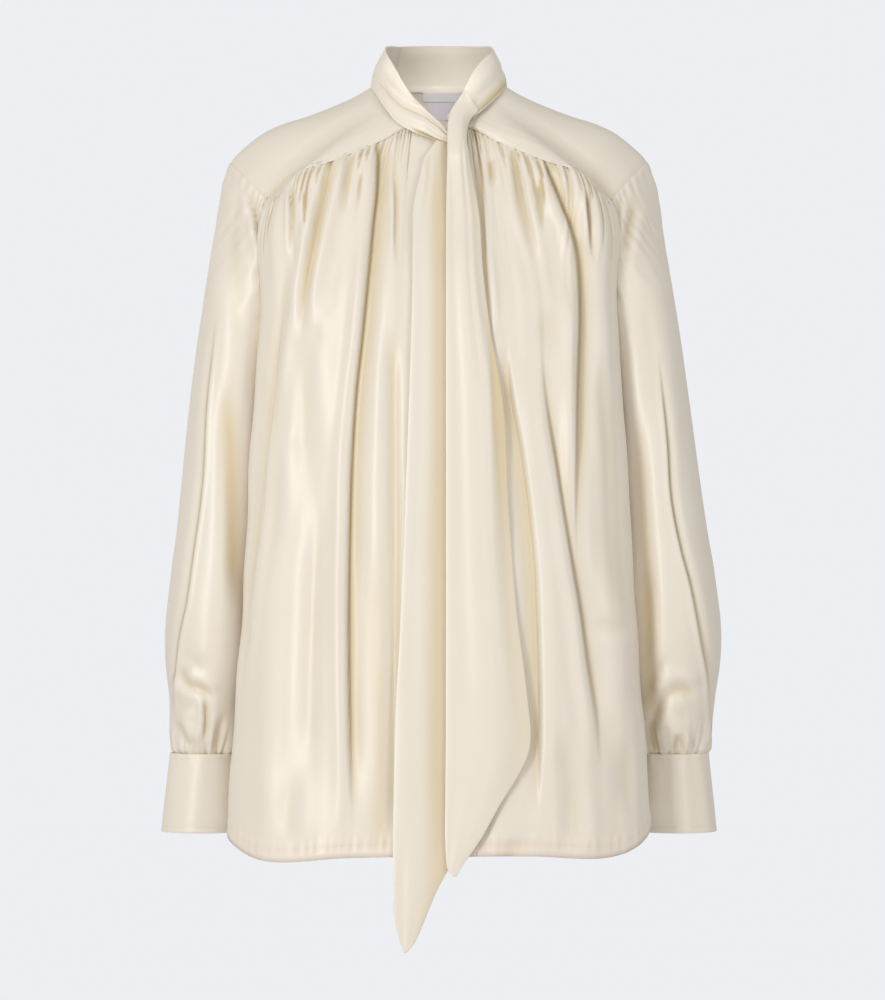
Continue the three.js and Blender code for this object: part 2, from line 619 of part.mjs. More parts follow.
// Turns of a row along a half's top edge, with two for each gather.
function fineTurns(behind, edge) {
  const seamStart = behind ? 0 : FRONT_NECK_END;
  const seamEnd = behind ? BACK_SEAM_END : FRONT_SEAM_END;
  const joint = behind ? ARMHOLE_BACK_JOINT : ARMHOLE_FRONT_JOINT;
  const gathers = behind ? GATHERS.back : GATHERS.front;
  const steps = Math.round(Math.abs(180 - joint) / ARMHOLE_STEP);
  const neck = behind ? [] : turns(4, edge, seamStart).slice(0, -1);
  const seam = turns(2 * gathers, seamStart, seamEnd).slice(0, -1);
  return [...neck, ...seam, ...turns(steps, seamEnd, 1)];
}

function gatherHeight(turn, below) {
  const { side, behind, away } = half(turn);
  const start = behind ? 0 : FRONT_NECK_END;
  const end = behind ? BACK_SEAM_END : FRONT_SEAM_END;
  const share = (away - start) / (end - start);
  const count = behind ? GATHERS.back : GATHERS.front;
  const inside = smooth(share * GATHERS.ends + (behind ? 1 : 0)) * smooth((1 - share) * GATHERS.ends);
  const uneven = GATHERS.level + GATHERS.uneven * Math.sin(9 * share + 2 * side);
  const row = read(GATHER_ROWS, 'below', 'share', below);
  return GATHERS.height * inside * uneven * row * Math.cos(2 * Math.PI * count * share);
}

// Outward direction on a panel's top edge, shared with what is sewn there.
function topFacing(turn) {
  const { side, behind, away } = half(turn);
  const seamEnd = behind ? BACK_SEAM_END : FRONT_SEAM_END;
  if (!behind && away < FRONT_NECK_END) {
    return bodyFacing(turn, -topPoint(turn).z + NEAR_SEAM);
  }
  if (away < seamEnd) {
    return yokeSeamFacing(turn);
  }
  const joint = behind ? ARMHOLE_BACK_JOINT : ARMHOLE_FRONT_JOINT;
  const armTurn = joint + (180 - joint) * (away - seamEnd) / (1 - seamEnd);
  const leftTurn = behind ? 2 - away : away;
  const own = bodyFacing(leftTurn, -topPoint(leftTurn).z + NEAR_SEAM);
  return mirrored(armholeFacing(armTurn, own), side);
}

// Drop of a panel's top edge, half a seam away from the seam line however steep it is.
function seamDrop(turn) {
  const step = topPoint(turn + SEAM_TURN_STEP).sub(topPoint(turn - SEAM_TURN_STEP));
  const level = Math.hypot(step.x, step.y) / step.length();
  return -topPoint(turn).z + SEAM / 2 / Math.max(level, 0.4);
}

// One station of a front or the back. Below the gathers, share runs down to the hem.
function panelStation(turn, below, share, lap) {
  const topDrop = seamDrop(turn);
  const drop = topDrop + below + (hemDrop(turn) - topDrop - below) * share;
  const base = bodyPoint(turn, drop);
  const direction = drop === topDrop ? topFacing(turn) : bodyFacing(turn, drop);
  const gather = share === 0 ? gatherHeight(turn, below) : 0;
  const overEdge = lapX(LAP.right, drop) + LAP_MARGIN;
  const under = lap.under * (1 - smooth((base.x - overEdge) / LAP_EASE));
  const outer = base.addScaledVector(direction, gather - foldDepth(turn, base) - under);
  return station(turn, outer, direction, CLOTH);
}

// Rows of a panel: fine ones that carry the gathers, then even ones down to the hem.
// turnsAt gives a row's turns from its middle drop.
function panelRows(turnsAt, lap) {
  const rows = GATHER_ROWS.map(({ below }) => (
    turnsAt(GATHER_DROP + below, true).map((turn) => panelStation(turn, below, 0, lap))
  ));
  const { below } = GATHER_ROWS[GATHER_ROWS.length - 1];
  for (let r = 1; r <= PANEL_ROWS; r += 1) {
    const share = r / PANEL_ROWS;
    const list = turnsAt(GATHER_DROP + (HEM[0].front - GATHER_DROP) * share, false);
    rows.push(list.map((turn) => panelStation(turn, below, share, lap)));
  }
  return rows;
}

function frontGeometry(side, lap) {
  const end = 1 - SIDE_GAP_TURN;
  const turnsAt = (drop, fine) => {
    const edge = edgeTurn(side, lapX(lap, drop), drop);
    const list = fine ? fineTurns(false, edge) : turns(FRONT_COLUMNS, edge, 1);
    const placed = list.map((turn) => side * Math.min(turn, end));
    return side < 0 ? placed.reverse() : placed;
  };
  return wallGeometry(panelRows(turnsAt, lap), false);
}

function backGeometry() {
  const end = 1 - SIDE_GAP_TURN;
  const turnsAt = (drop, fine) => {
    if (!fine) {
      return turns(BACK_COLUMNS, 1 + SIDE_GAP_TURN, 3 - SIDE_GAP_TURN);
    }
    const away = fineTurns(true, 0).map((turn) => Math.min(turn, end));
    return [...away.map((turn) => 2 - turn).reverse(), ...away.slice(1).map((turn) => 2 + turn)];
  };
  return wallGeometry(panelRows(turnsAt, LAP.right), false);
}

// Outward direction on the yoke's outer edge, shared with what is sewn there.
function yokeEdgeFacing(along) {
  const right = along > 1;
  const at = right ? 2 - along : along;
  if (at < YOKE.frontJoint) {
    const away = FRONT_NECK_END + (FRONT_SEAM_END - FRONT_NECK_END) * at / YOKE.frontJoint;
    return yokeSeamFacing(right ? -away : away);
  }
  if (at > YOKE.backJoint) {
    const away = BACK_SEAM_END * (1 - at) / (1 - YOKE.backJoint);
    return yokeSeamFacing(right ? 2 + away : 2 - away);
  }
  const ahead = at < YOKE.shoulder;
  const share = ahead
    ? (at - YOKE.frontJoint) / (YOKE.shoulder - YOKE.frontJoint) - 1
    : (at - YOKE.shoulder) / (YOKE.backJoint - YOKE.shoulder);
  const turn = ahead ? (360 - ARMHOLE_FRONT_JOINT) * share : ARMHOLE_BACK_JOINT * share;
  return mirrored(armholeFacing(turn, yokeFacing(at, NEAR_EDGE)), right ? -1 : 1);
}

function yokeGeometry() {
  const frontSteps = Math.round((360 - ARMHOLE_FRONT_JOINT) / ARMHOLE_STEP);
  const backSteps = Math.round(ARMHOLE_BACK_JOINT / ARMHOLE_STEP);
  const left = [
    ...turns(YOKE_STEPS.front, YOKE_START, YOKE.frontJoint).slice(0, -1),
    ...turns(frontSteps, YOKE.frontJoint, YOKE.shoulder).slice(0, -1),
    ...turns(backSteps, YOKE.shoulder, YOKE.backJoint).slice(0, -1),
    ...turns(YOKE_STEPS.back, YOKE.backJoint, 1),
  ];
  const all = [...left, ...left.slice(0, -1).reverse().map((along) => 2 - along)];
  const rows = all.map((along) => {
    const length = yokePoint(along, 0).distanceTo(yokePoint(along, 1));
    const outerEdge = 1 - SEAM / 2 / length;
    return YOKE_COLUMNS.map((column) => {
      const across = column * outerEdge;
      const direction = column === 1 ? yokeEdgeFacing(along) : yokeFacing(along, across);
      return station(across, yokePoint(along, across), direction, CLOTH);
    });
  });
  return wallGeometry(rows, false);
}

function sleeveFold(turn, drop) {
  let depth = 0;
  for (const fold of SLEEVE_FOLDS) {
    const away = ((turn - fold.turn + 540) % 360) - 180;
    const ease = smooth((drop - fold.drop0) / FOLD_EASE) * smooth((fold.drop1 - drop) / FOLD_EASE);
    depth += fold.depth * ease * Math.exp(-((away / fold.width) ** 2));
  }
  return depth;
}

function sleeveGeometry(side) {
  const reach = side > 0 ? SLEEVE_REACH.left : SLEEVE_REACH.right;
  const rows = SLEEVE_ROWS.map((share) => {
    const row = turns(360 / ARMHOLE_STEP, 0, 360).map((turn) => {
      const point = sleevePoint(turn, share);
      const fuller = reach * Math.exp(-(((-point.z - SLEEVE_REACH.drop) / SLEEVE_REACH.spread) ** 2));
      point.x += fuller * smooth((1 + Math.cos(degrees(turn))) / 2);
      const own = sleeveFacing(turn, share);
      const direction = share === 0 ? armholeFacing(turn, sleeveFacing(turn, 0.01)) : own;
      const atEnd = share === 1 ? CUFF_PLEATS.end : 1;
      const pleat = smooth((share - CUFF_PLEATS.from) / CUFF_PLEATS.rise) * atEnd;
      const wave = Math.cos(degrees((turn - CUFF_PLEATS.turn) * CUFF_PLEATS.count));
      point.addScaledVector(own, CUFF_PLEATS.height * pleat * wave - sleeveFold(turn, -point.z));
      const item = station(turn, point, direction, CLOTH);
      return { at: turn, outer: mirrored(item.outer, side), inner: mirrored(item.inner, side) };
    });
    row[row.length - 1] = { ...row[0], at: 360 };
    return row;
  });
  return wallGeometry(rows, true);
}

// Cuff surface: degrees round from the under end, and drop.
function cuffPoint(turn, drop) {
  const share = (drop - CUFF.top) / (CUFF.bottom - CUFF.top);
  const angle = degrees(CUFF.lapTurn + turn);
  const rise = CUFF.rise * turn / 360 - CUFF.inset;
  const halfX = CUFF.halfX + CUFF.flareX * share + rise;
  const halfY = CUFF.halfY + CUFF.flareY * share + rise;
  const x = CUFF.x + CUFF.shift * share + halfX * Math.cos(angle);
  return vector(x, CUFF.y + halfY * Math.sin(angle), -drop);
}

const cuffFacing = (turn, drop) => facing(cuffPoint, turn, drop, 3, 3).negate();

function cuffGeometry(side) {
  const rows = turns(CUFF.rows, CUFF.top, CUFF.bottom).map((drop) => (
    turns(CUFF.columns, 0, 360 + CUFF.lap).map((turn) => {
      const item = station(turn, cuffPoint(turn, drop), cuffFacing(turn, drop), DOUBLE);
      return { at: turn, outer: mirrored(item.outer, side), inner: mirrored(item.inner, side) };
    })
  ));
  return wallGeometry(rows, false);
}

function buttonMesh(name, side) {
  const { radius, thick, rim, gap } = BUTTON;
  const profile = [
    [0, 0], [radius - rim, 0], [radius, rim], [radius, thick - rim], [radius - rim, thick],
    [radius - 3 * rim, thick], [radius - 4 * rim, thick - rim], [0, thick - rim],
  ];
  const geometry = new THREE.LatheGeometry(profile.map((p) => new THREE.Vector2(...p)), BUTTON.sides);
  const turn = 360 + CUFF.lap / 2;
  const seat = mirrored(cuffPoint(turn, BUTTON.drop), side);
  const direction = mirrored(cuffFacing(turn, BUTTON.drop), side);
  const mesh = meshOf(name, geometry, BUTTON_CREAM);
  mesh.quaternion.setFromUnitVectors(vector(0, 1, 0), direction);
  mesh.position.copy(seat.addScaledVector(direction, gap));
  return mesh;
}

const collarLow = curveThrough(COLLAR.map((row) => row.low));
const collarHigh = curveThrough(COLLAR.map((row) => row.high));

// Collar surface: along from the right front end to the left one, up from the sewn edge.
function collarPoint(along, up) {
  const at = Math.min(Math.max(along, 0), 1);
  const point = collarLow.getPoint(at).lerp(collarHigh.getPoint(at), up);
  const outward = vector(point.x, point.y, 0).normalize();
  const ends = smooth(Math.min(at, 1 - at) / COLLAR_FLAT_END);
  return point.addScaledVector(outward, COLLAR_CURVE * ends * Math.sin(Math.PI * up));
}

function collarGeometry() {
  const rows = turns(COLLAR_ROWS, 0, 1).map((along) => (
    turns(3, 0, 1).map((up) => {
      const direction = facing(collarPoint, along, up, 0.01, 0.1).negate();
      return station(up, collarPoint(along, up), direction, DOUBLE);
    })
  ));
  return wallGeometry(rows, false);
}

function tieGeometry(table) {
  const path = table.map((row, i) => ({ ...row, row: i }));
  const tiePoint = (row, across) => {
    const left = read(path, 'row', 'left', row);
    const right = read(path, 'row', 'right', row);
    const back = read(path, 'row', 'recede', row) * smooth((across - 0.45) / 0.55);
    const drop = read(path, 'row', 'drop', row);
    const front = bodyPoint(0, Math.max(drop, -topPoint(0).z)).y;
    return vector(left + (right - left) * across, front - read(path, 'row', 'proud', row) + back, -drop);
  };
  const rows = turns(TIE_ROWS, 0, path.length - 1).map((row) => (
    turns(TIE_COLUMNS, 0, 1).map((across) => {
      const direction = facing(tiePoint, row, across, 0.1, 0.05);
      return station(across, tiePoint(row, across), direction, DOUBLE);
    })
  ));
  return wallGeometry(rows, false);
}

// A small plate that lies on the inside of the yoke at the back neck.
function insidePlate(plate) {
  const rows = turns(3, plate.top, plate.bottom).map((across) => (
    turns(4, -plate.halfWidth, plate.halfWidth).map((offset) => {
      const x = plate.x + offset;
      const spread = YOKE_SPREAD.neck + (YOKE_SPREAD.seam - YOKE_SPREAD.neck) * across;
      const along = 1 - x / spread;
      const direction = yokeFacing(along, across);
      const outer = yokePoint(along, across).addScaledVector(direction, -CLOTH - plate.gap);
      return station(offset, outer, direction, plate.thick);
    })
  ));
  return wallGeometry(rows, false);
}

function meshOf(name, geometry, finish) {
  const mesh = new THREE.Mesh(geometry, new THREE.MeshStandardMaterial(finish));
  mesh.name = name;
  return mesh;
}

const blouse = new THREE.Group();
blouse.add(
  meshOf('yoke', yokeGeometry(), SATIN),
  meshOf('front_right', frontGeometry(-1, LAP.right), SATIN),
  meshOf('front_left', frontGeometry(1, LAP.left), SATIN),
  meshOf('back', backGeometry(), SATIN),
  meshOf('collar', collarGeometry(), SATIN),
  meshOf('tie_over', tieGeometry(TIE_OVER), SATIN),
  meshOf('tie_under', tieGeometry(TIE_UNDER), SATIN),
  meshOf('label', insidePlate(LABEL), LABEL_WHITE),
  meshOf('size_tab', insidePlate(TAB), TAB_GREY),
);
for (const [name, side] of [['left', 1], ['right', -1]]) {
  blouse.add(
    meshOf(`sleeve_${name}`, sleeveGeometry(side), SATIN),
    meshOf(`cuff_${name}`, cuffGeometry(side), SATIN),
    buttonMesh(`cuff_button_${name}`, side),
  );
}

export default blouse;
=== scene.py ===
"""A satin blouse with a gathered yoke, a stand collar and two long ties, in worn form.

Sizes are in millimetres and drops are measured down from the neck base, unless a
name says otherwise. Meshes are made in metres. "left" is the wearer's left, on +X.
"""

import logging
import math
from dataclasses import dataclass, field
from enum import Enum
from typing import Callable

import bpy
import numpy as np
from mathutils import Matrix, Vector


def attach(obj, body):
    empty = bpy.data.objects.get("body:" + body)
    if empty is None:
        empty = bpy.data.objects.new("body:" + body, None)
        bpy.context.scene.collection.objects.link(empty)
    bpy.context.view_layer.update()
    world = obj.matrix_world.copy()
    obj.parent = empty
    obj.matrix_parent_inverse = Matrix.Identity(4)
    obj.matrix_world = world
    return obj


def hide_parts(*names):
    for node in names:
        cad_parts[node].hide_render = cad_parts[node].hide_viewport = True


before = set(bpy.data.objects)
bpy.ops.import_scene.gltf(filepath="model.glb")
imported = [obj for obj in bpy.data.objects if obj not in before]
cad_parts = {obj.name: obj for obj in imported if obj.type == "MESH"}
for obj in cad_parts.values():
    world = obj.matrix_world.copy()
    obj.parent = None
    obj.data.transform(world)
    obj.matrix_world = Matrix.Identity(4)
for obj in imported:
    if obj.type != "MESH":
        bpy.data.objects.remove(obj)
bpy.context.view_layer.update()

Array = np.ndarray
Colour = tuple[float, float, float, float]

MM = 0.001
CLOTH = 0.9
DOUBLE = 1.7
BODY_Y = 6.0
BODY_ROUNDNESS = 2.6
ARM_Y = 15.0
ARM_REACH = 55.0
SEAM_EASE = 120.0
HEM_TILT = 3.0
FRONT_NECK_TURN = -67.6
FRONT_NECK_END = 0.2
FRONT_SEAM_END = 0.8
BACK_SEAM_END = 0.81
FRONT_SEAM_POWER = 1.1
ARMHOLE_FRONT_JOINT = 288.0
ARMHOLE_BACK_JOINT = 60.0
FRONT_SEAM_LENGTH = 165.0
BACK_SEAM_LENGTH = 184.0
HEM_WIDTH = 12.5
FRONT_TOP = 62.0
FRONT_HEM = 723.0
SIDE_START = 0.8
SIDE_SPAN = 0.18


class Side(Enum):
    """The wearer's left lies on +X and the right on -X."""

    LEFT = 1
    RIGHT = -1

    @property
    def word(self) -> str:
        """The side's name as the pieces use it."""
        return self.name.lower()


class Hold(Enum):
    """How a sheet of cloth is held."""

    HUNG = "hung"
    GATHERED = "gathered"
    FOLDED = "folded"
    LAID = "laid"


def smooth(value: Array | float) -> Array:
    """Ease a value from 0 to 1."""
    t = np.clip(value, 0.0, 1.0)
    return t * t * (3 - 2 * t)


def bell(distance: Array | float, width: Array | float) -> Array:
    """A bell curve, 1 at no distance."""
    return np.exp(-((distance / width) ** 2))


def unit(vectors: Array) -> Array:
    """Vectors scaled to length 1."""
    return vectors / np.maximum(np.linalg.norm(vectors, axis=-1, keepdims=True), 1e-9)


def stack(x: Array, y: Array, z: Array) -> Array:
    """Points from three arrays of coordinates."""
    return np.stack(np.broadcast_arrays(x, y, z), axis=-1).astype(float)


@dataclass(frozen=True)
class Table:
    """A short table of sizes, read as smooth curves through its rows."""

    columns: tuple[str, ...]
    rows: tuple[tuple[float, ...], ...]

    def read(self, column: str, at: Array | float) -> Array:
        """Read one column, held flat past both ends.

        Args:
            column: The column's name.
            at: Places along the first column.

        Returns:
            The column's value at each place.
        """
        keys = np.array([row[0] for row in self.rows], float)
        values = np.array([row[self.columns.index(column)] for row in self.rows], float)
        last = len(keys) - 1
        place = np.clip(at, keys[0], keys[-1])
        i = np.clip(np.searchsorted(keys, place, side="left") - 1, 0, last - 1)
        before = np.maximum(np.arange(last + 1) - 1, 0)
        after = np.minimum(np.arange(last + 1) + 1, last)
        slopes = (values[after] - values[before]) / (keys[after] - keys[before])
        span = keys[i + 1] - keys[i]
        t = (place - keys[i]) / span
        rise = t * t * (3 - 2 * t)
        leave = t * (1 - t) ** 2 * span * slopes[i]
        arrive = t * t * (1 - t) * span * slopes[i + 1]
        return values[i] * (1 - rise) + values[i + 1] * rise + leave - arrive


class Curve:
    """A smooth curve through a few points, with the spacing of the points kept even."""

    def __init__(self, points: list[tuple[float, float, float]], closed: bool = False) -> None:
        """Keep the points, with one more past each end.

        Args:
            points: Places that the curve passes.
            closed: Whether it returns to its start.
        """
        p = np.array(points, float)
        self.count = len(p)
        self.closed = closed
        if closed:
            self.points = np.vstack([p[-1:], p, p[:2]])
        else:
            self.points = np.vstack([2 * p[:1] - p[1:2], p, 2 * p[-1:] - p[-2:-1]])

    def at(self, share: Array) -> Array:
        """Points at shares of the curve, from 0 to 1.

        Args:
            share: Places along the curve, from 0 to 1.

        Returns:
            One point for each share.
        """
        spans = self.count if self.closed else self.count - 1
        place = np.clip(np.asarray(share, float), 0, 1) * spans
        index = np.minimum(np.floor(place).astype(int), spans - 1)
        w = (place - index)[..., None]
        p0, p1, p2, p3 = (self.points[index + k] for k in range(4))
        d0, d1, d2 = (np.sqrt(np.linalg.norm(b - a, axis=-1, keepdims=True))
                      for a, b in ((p0, p1), (p1, p2), (p2, p3)))
        t1 = ((p1 - p0) / d0 - (p2 - p0) / (d0 + d1) + (p2 - p1) / d1) * d1
        t2 = ((p2 - p1) / d1 - (p3 - p1) / (d1 + d2) + (p3 - p2) / d2) * d1
        c2 = -3 * p1 + 3 * p2 - 2 * t1 - t2
        c3 = 2 * p1 - 2 * p2 + t1 + t2
        return p1 + t1 * w + c2 * w ** 2 + c3 * w ** 3


class Wall(Enum):
    """Which side of a fold rises steeply, where the cloth laps over it."""

    NONE = 0
    LEFT = -1
    RIGHT = 1


@dataclass(frozen=True)
class Fold:
    """A soft crease that runs along a path on a piece.

    Attributes:
        path: Places (across, down) that the crease passes.
        depth: How far it is pushed in, or raised where it is below 0.
        width: Half width of its groove.
        roll: Height of the rolls beside it, as a share of its depth.
        start: Length over which it sets in.
        end: Length over which it fades out.
        wall: The side on which the cloth laps over it.
        gold_shade: How much painted golden shade fills its groove, from 0 to 1.
        line: How much painted crease shadow lines the bottom of its groove, from 0 to 1.
    """

    path: tuple[tuple[float, float], ...]
    depth: float
    width: float
    roll: float = 0.4
    start: float = 30.0
    end: float = 60.0
    wall: Wall = Wall.NONE
    gold_shade: float = 0.6
    line: float = 0.6

    def places(self) -> Array:
        """The path as a smooth row of places."""
        curve = Curve([(x, y, 0.0) for x, y in self.path])
        return curve.at(np.linspace(0, 1, 4 * len(self.path) - 3))[:, :2]

    def nearest(self, across: Array, down: Array) -> tuple[Array, Array, float]:
        """Find the nearest place on the path.

        Args:
            across: Places across the piece.
            down: Places down the piece.

        Returns:
            Distance with its side, length along the path, and the path's whole length.
        """
        places = self.places()
        away = np.full(across.shape, 1e9)
        along = np.zeros(across.shape)
        length = 0.0
        for a, b in zip(places[:-1], places[1:]):
            step = b - a
            size = float(np.hypot(*step))
            share = np.clip(((across - a[0]) * step[0] + (down - a[1]) * step[1]) / size ** 2, 0, 1)
            gap = np.hypot(across - a[0] - share * step[0], down - a[1] - share * step[1])
            side = np.sign((across - a[0]) * step[1] - (down - a[1]) * step[0])
            closer = gap < np.abs(away)
            away = np.where(closer, gap * np.where(side == 0, 1, side), away)
            along = np.where(closer, length + share * size, along)
            length += size
        return away, along, length

    def press(self, across: Array, down: Array) -> tuple[Array, Array, Array]:
        """Press the fold into a piece.

        Args:
            across: Places across the piece.
            down: Places down the piece.

        Returns:
            Height of the cloth, below 0 in the groove, and its painted golden shade and painted crease shadow.
        """
        away, along, length = self.nearest(across, down)
        ease = smooth(along / self.start + 0.12) * smooth((length - along) / self.end + 0.04)
        t = away / self.width
        # The groove's bottom, where painted crease shadow goes; press also returns painted golden shade for the groove.
        core = bell(away, 1.35) * smooth(along / self.start) * smooth((length - along) / (1.4 * self.end))
        if self.wall is Wall.NONE:
            groove = bell(t, 1.0)
            rolls = bell(t - 1.9, 1.1) + bell(t + 1.9, 1.1)
            height = self.depth * ease * (self.roll * rolls - groove)
            return height, 0.8 * self.gold_shade * ease * bell(t, 0.8), 0.4 * self.line * core * (self.depth > 0)
        t = -t * self.wall.value
        groove = np.where(t < 0, bell(t, 0.2), bell(t, 1.3))
        rolls = 1.3 * bell(t + 1.0, 0.75) + 0.5 * bell(t - 2.6, 1.3)
        height = self.depth * ease * (self.roll * rolls - groove)
        return height, self.gold_shade * ease * np.where(t < 0, bell(t, 0.12), bell(t, 1.0)), self.line * core


def press_all(folds: tuple[Fold, ...], across: Array, down: Array) -> tuple[Array, Array, Array]:
    """Press several folds into a piece.

    Args:
        folds: The folds.
        across: Places across the piece.
        down: Places down the piece.

    Returns:
        Height of the cloth, and its painted golden shade and painted crease shadow, from 0 to 1.
    """
    height = np.zeros(across.shape)
    gold_shade = np.zeros(across.shape)
    line = np.zeros(across.shape)
    for fold in folds:
        lift, warm_shade, dark_shade = fold.press(across, down)
        height = height + lift
        gold_shade = np.maximum(gold_shade, warm_shade)
        line = np.maximum(line, dark_shade)
    return height, np.clip(gold_shade, 0, 1), np.clip(line, 0, 1)


class Ripples:
    """Smooth uneven waves across a piece, the same each time."""

    def __init__(self, seed: int, period: float, drift: float = 0.0, waves: int = 5) -> None:
        """Draw the waves.

        Args:
            seed: Fixed seed of the waves.
            period: Their middle length.
            drift: How far they lean over a length of 1.
            waves: How many are added up.
        """
        draw = np.random.default_rng(seed)
        self.rate = 2 * math.pi / (period * draw.uniform(0.65, 1.5, waves))
        self.phase = draw.uniform(0, 2 * math.pi, waves)
        self.drift = drift * draw.uniform(-1, 1, waves)

    def height(self, across: Array, down: Array) -> Array:
        """Height of the waves, about -1 to 1.

        Args:
            across: Places across the piece.
            down: Places down it.

        Returns:
            Heights, about -1 to 1.
        """
        total = 0.0
        for rate, phase, drift in zip(self.rate, self.phase, self.drift):
            total = total + np.sin(rate * (across + drift * down) + phase)
        return total / math.sqrt(len(self.rate))


@dataclass(frozen=True)
class Gathers:
    """Small uneven pleats that hang from a gathered seam.

    Attributes:
        count: Pleats along the seam.
        length: Length of the seam.
        seed: Fixed seed of their places and sizes.
        height: Middle height of a pleat.
        reach: Shortest and longest run below the seam.
    """

    count: int
    length: float
    seed: int
    height: float = 2.3
    reach: tuple[float, float] = (8.0, 80.0)

    def relief(self, along: Array, below: Array) -> Array:
        """Height of the cloth from its place along the seam and the distance below it.

        Args:
            along: Places along the seam.
            below: Distances below it.

        Returns:
            Heights in millimetres.
        """
        draw = np.random.default_rng(self.seed)
        pitch = self.length / self.count
        total = np.zeros_like(along)
        inside = smooth(along / 8 + 0.4) * smooth((self.length - along) / 8 + 0.6)
        for i in range(self.count):
            middle = (i + 0.5 + draw.uniform(-0.34, 0.34)) * pitch
            depth = self.height * draw.uniform(0.45, 1.35)
            reach = self.reach[0] + (self.reach[1] - self.reach[0]) * draw.uniform(0, 1) ** 2.2
            lean = draw.uniform(-0.05, 0.05)
            width = pitch * draw.uniform(0.16, 0.3) * (1 + 0.014 * np.maximum(below, 0))
            fade = np.exp(-((np.maximum(below, 0) / reach) ** 1.3))
            away = along - middle - lean * below
            total -= depth * fade * bell(away, width)
            total += 0.5 * depth * fade * bell(away - 0.45 * pitch, 0.8 * width)
        return total * inside


NECK = {"half_width": 63.0, "front": 64.0, "back": 57.0, "centre_y": 2.0, "height": 14.0, "dip": 52.0, "power": 2.2}

BODY = Table(("drop", "side", "front", "back", "pinch"), (
    (30, 118, 60, 66, 0), (100, 176, 88, 100, 0.06), (180, 186, 118, 112, 0.15), (262, 193, 128, 113, 0.21),
    (300, 196, 131, 113, 0.222), (400, 202, 136, 116, 0.228), (500, 207, 140, 120, 0.213),
    (600, 213, 145, 127, 0.192), (700, 217, 150, 132, 0.152), (745, 219, 152, 134, 0.135),
))

HEM = Table(("turn", "front", "back"), (
    (0, 723, 733), (0.35, 724, 735), (0.55, 728.5, 733), (0.65, 725, 728), (0.75, 713, 716),
    (0.85, 699, 701), (1, 685, 685),
))

ARMHOLE_TURNS = np.array([0, 30, 60, 90, 115, 150, 180, 205, 235, 262, 288, 315, 340], float)
ARMHOLE = Curve([
    (203, 6, -60), (194, 36, -76), (178, 57, -110), (175, 53, -145), (165, 43, -192), (155, 27, -242),
    (152, 10, -262), (154, -16, -246), (160, -38, -196), (166, -48, -142), (167, -46, -100),
    (177, -38, -87), (190, -23, -73),
], closed=True)

FRONT_SEAM = Curve([
    (24, -57.2, -29.8), (36, -58, -34.5), (53, -64, -44), (79, -72, -55), (111, -75, -67),
    (130, -72, -72), (144, -66, -82), (154, -58, -93), (167, -46, -100),
])
BACK_SEAM = Curve([(0, 104, -122), (60, 100, -121), (120, 86, -117), (178, 57, -110)])

YOKE_FRONT_JOINT, YOKE_SHOULDER, YOKE_BACK_JOINT, YOKE_SHOULDER_SPAN = 0.3, 0.5, 0.68, 0.13
YOKE_NECK = Table(("along", "turn"), ((0, -67.6), (0.3, -35), (0.5, -5), (0.68, 35), (1, 90)))
YOKE_BULGE = Table(("along", "rise", "lean"), (
    (0, 1, -1.2), (0.3, 7, -0.5), (0.5, 12.5, 0), (0.68, 10, 0.5), (1, 9, 0.7),
))
YOKE_CROSS = Table(("across", "shoulder", "plain"), (
    (0, 0, 0), (0.12, -0.08, 0.38), (0.3, 0.12, 0.78), (0.5, 0.52, 1), (0.65, 0.93, 0.9),
    (0.78, 1, 0.62), (0.9, 0.58, 0.26), (1, 0, 0),
))

SLEEVE = Table(("drop", "x", "half_x", "y", "half_y"), (
    (60, 163, 40, 8, 48), (87, 170, 41, 8, 51), (136, 180, 39, 9, 54), (184, 187, 40, 9, 57),
    (242, 196, 40, 10, 60), (310, 204, 41, 11, 61), (369, 209.5, 42.5, 12, 62), (417, 214, 44, 12, 63),
    (456, 218, 46, 12, 65), (504, 221.5, 47.5, 13, 66), (543, 222, 47, 14, 63), (582, 223.5, 40.5, 15, 55),
    (615, 225, 35.5, 15, 43), (634, 226, 34, 15, 34),
))
SLEEVE_EASE = 100.0
SLEEVE_END = 636.0
ARMHOLE_SEAM = 0.8
UNDERARM_SEAM = 2.3
ARMHOLE_SINK = 2.4

COLLAR_LOW = Curve([
    (25, -69, -42.5), (17, -75.5, -45), (6.8, -76, -46.3), (-2.8, -74, -44), (-12.4, -70, -39.5),
    (-26, -66.5, -33.5), (-40, -60, -24.5), (-52.5, -49, -8), (-62, -30, 7.5), (-66, -6, 15.6), (-64, 18, 15.6),
    (-46, 43, 15), (-25, 55.5, 15), (0, 60.5, 15), (25, 55.5, 15), (46, 43, 15), (64, 18, 15.6),
    (65.5, -6, 15.6), (59.5, -30, 7), (46.5, -49.5, -7.5), (37.5, -58.5, -15.8), (26, -62.5, -23.5),
    (15, -63, -32),
])
COLLAR_HIGH = Curve([
    (24, -69.5, -31), (17, -74, -34), (7.2, -75, -37.5), (1, -71, -29.5), (-12.4, -64.5, -16.5),
    (-19.5, -59.5, -8), (-26.8, -53, 1.2), (-35.5, -43, 14.6), (-41.5, -31, 27), (-51, -12, 45), (-50, 14, 53),
    (-38, 35, 55), (-20, 46.5, 56.5), (0, 50.5, 57), (20, 46.5, 56.5), (38, 35, 55), (50, 14, 53),
    (51, -11, 45), (44, -22, 38.6), (31, -42, 20), (24, -51, 4.3), (14, -57, -14), (7, -60.5, -21),
])
COLLAR_STATIONS = 22


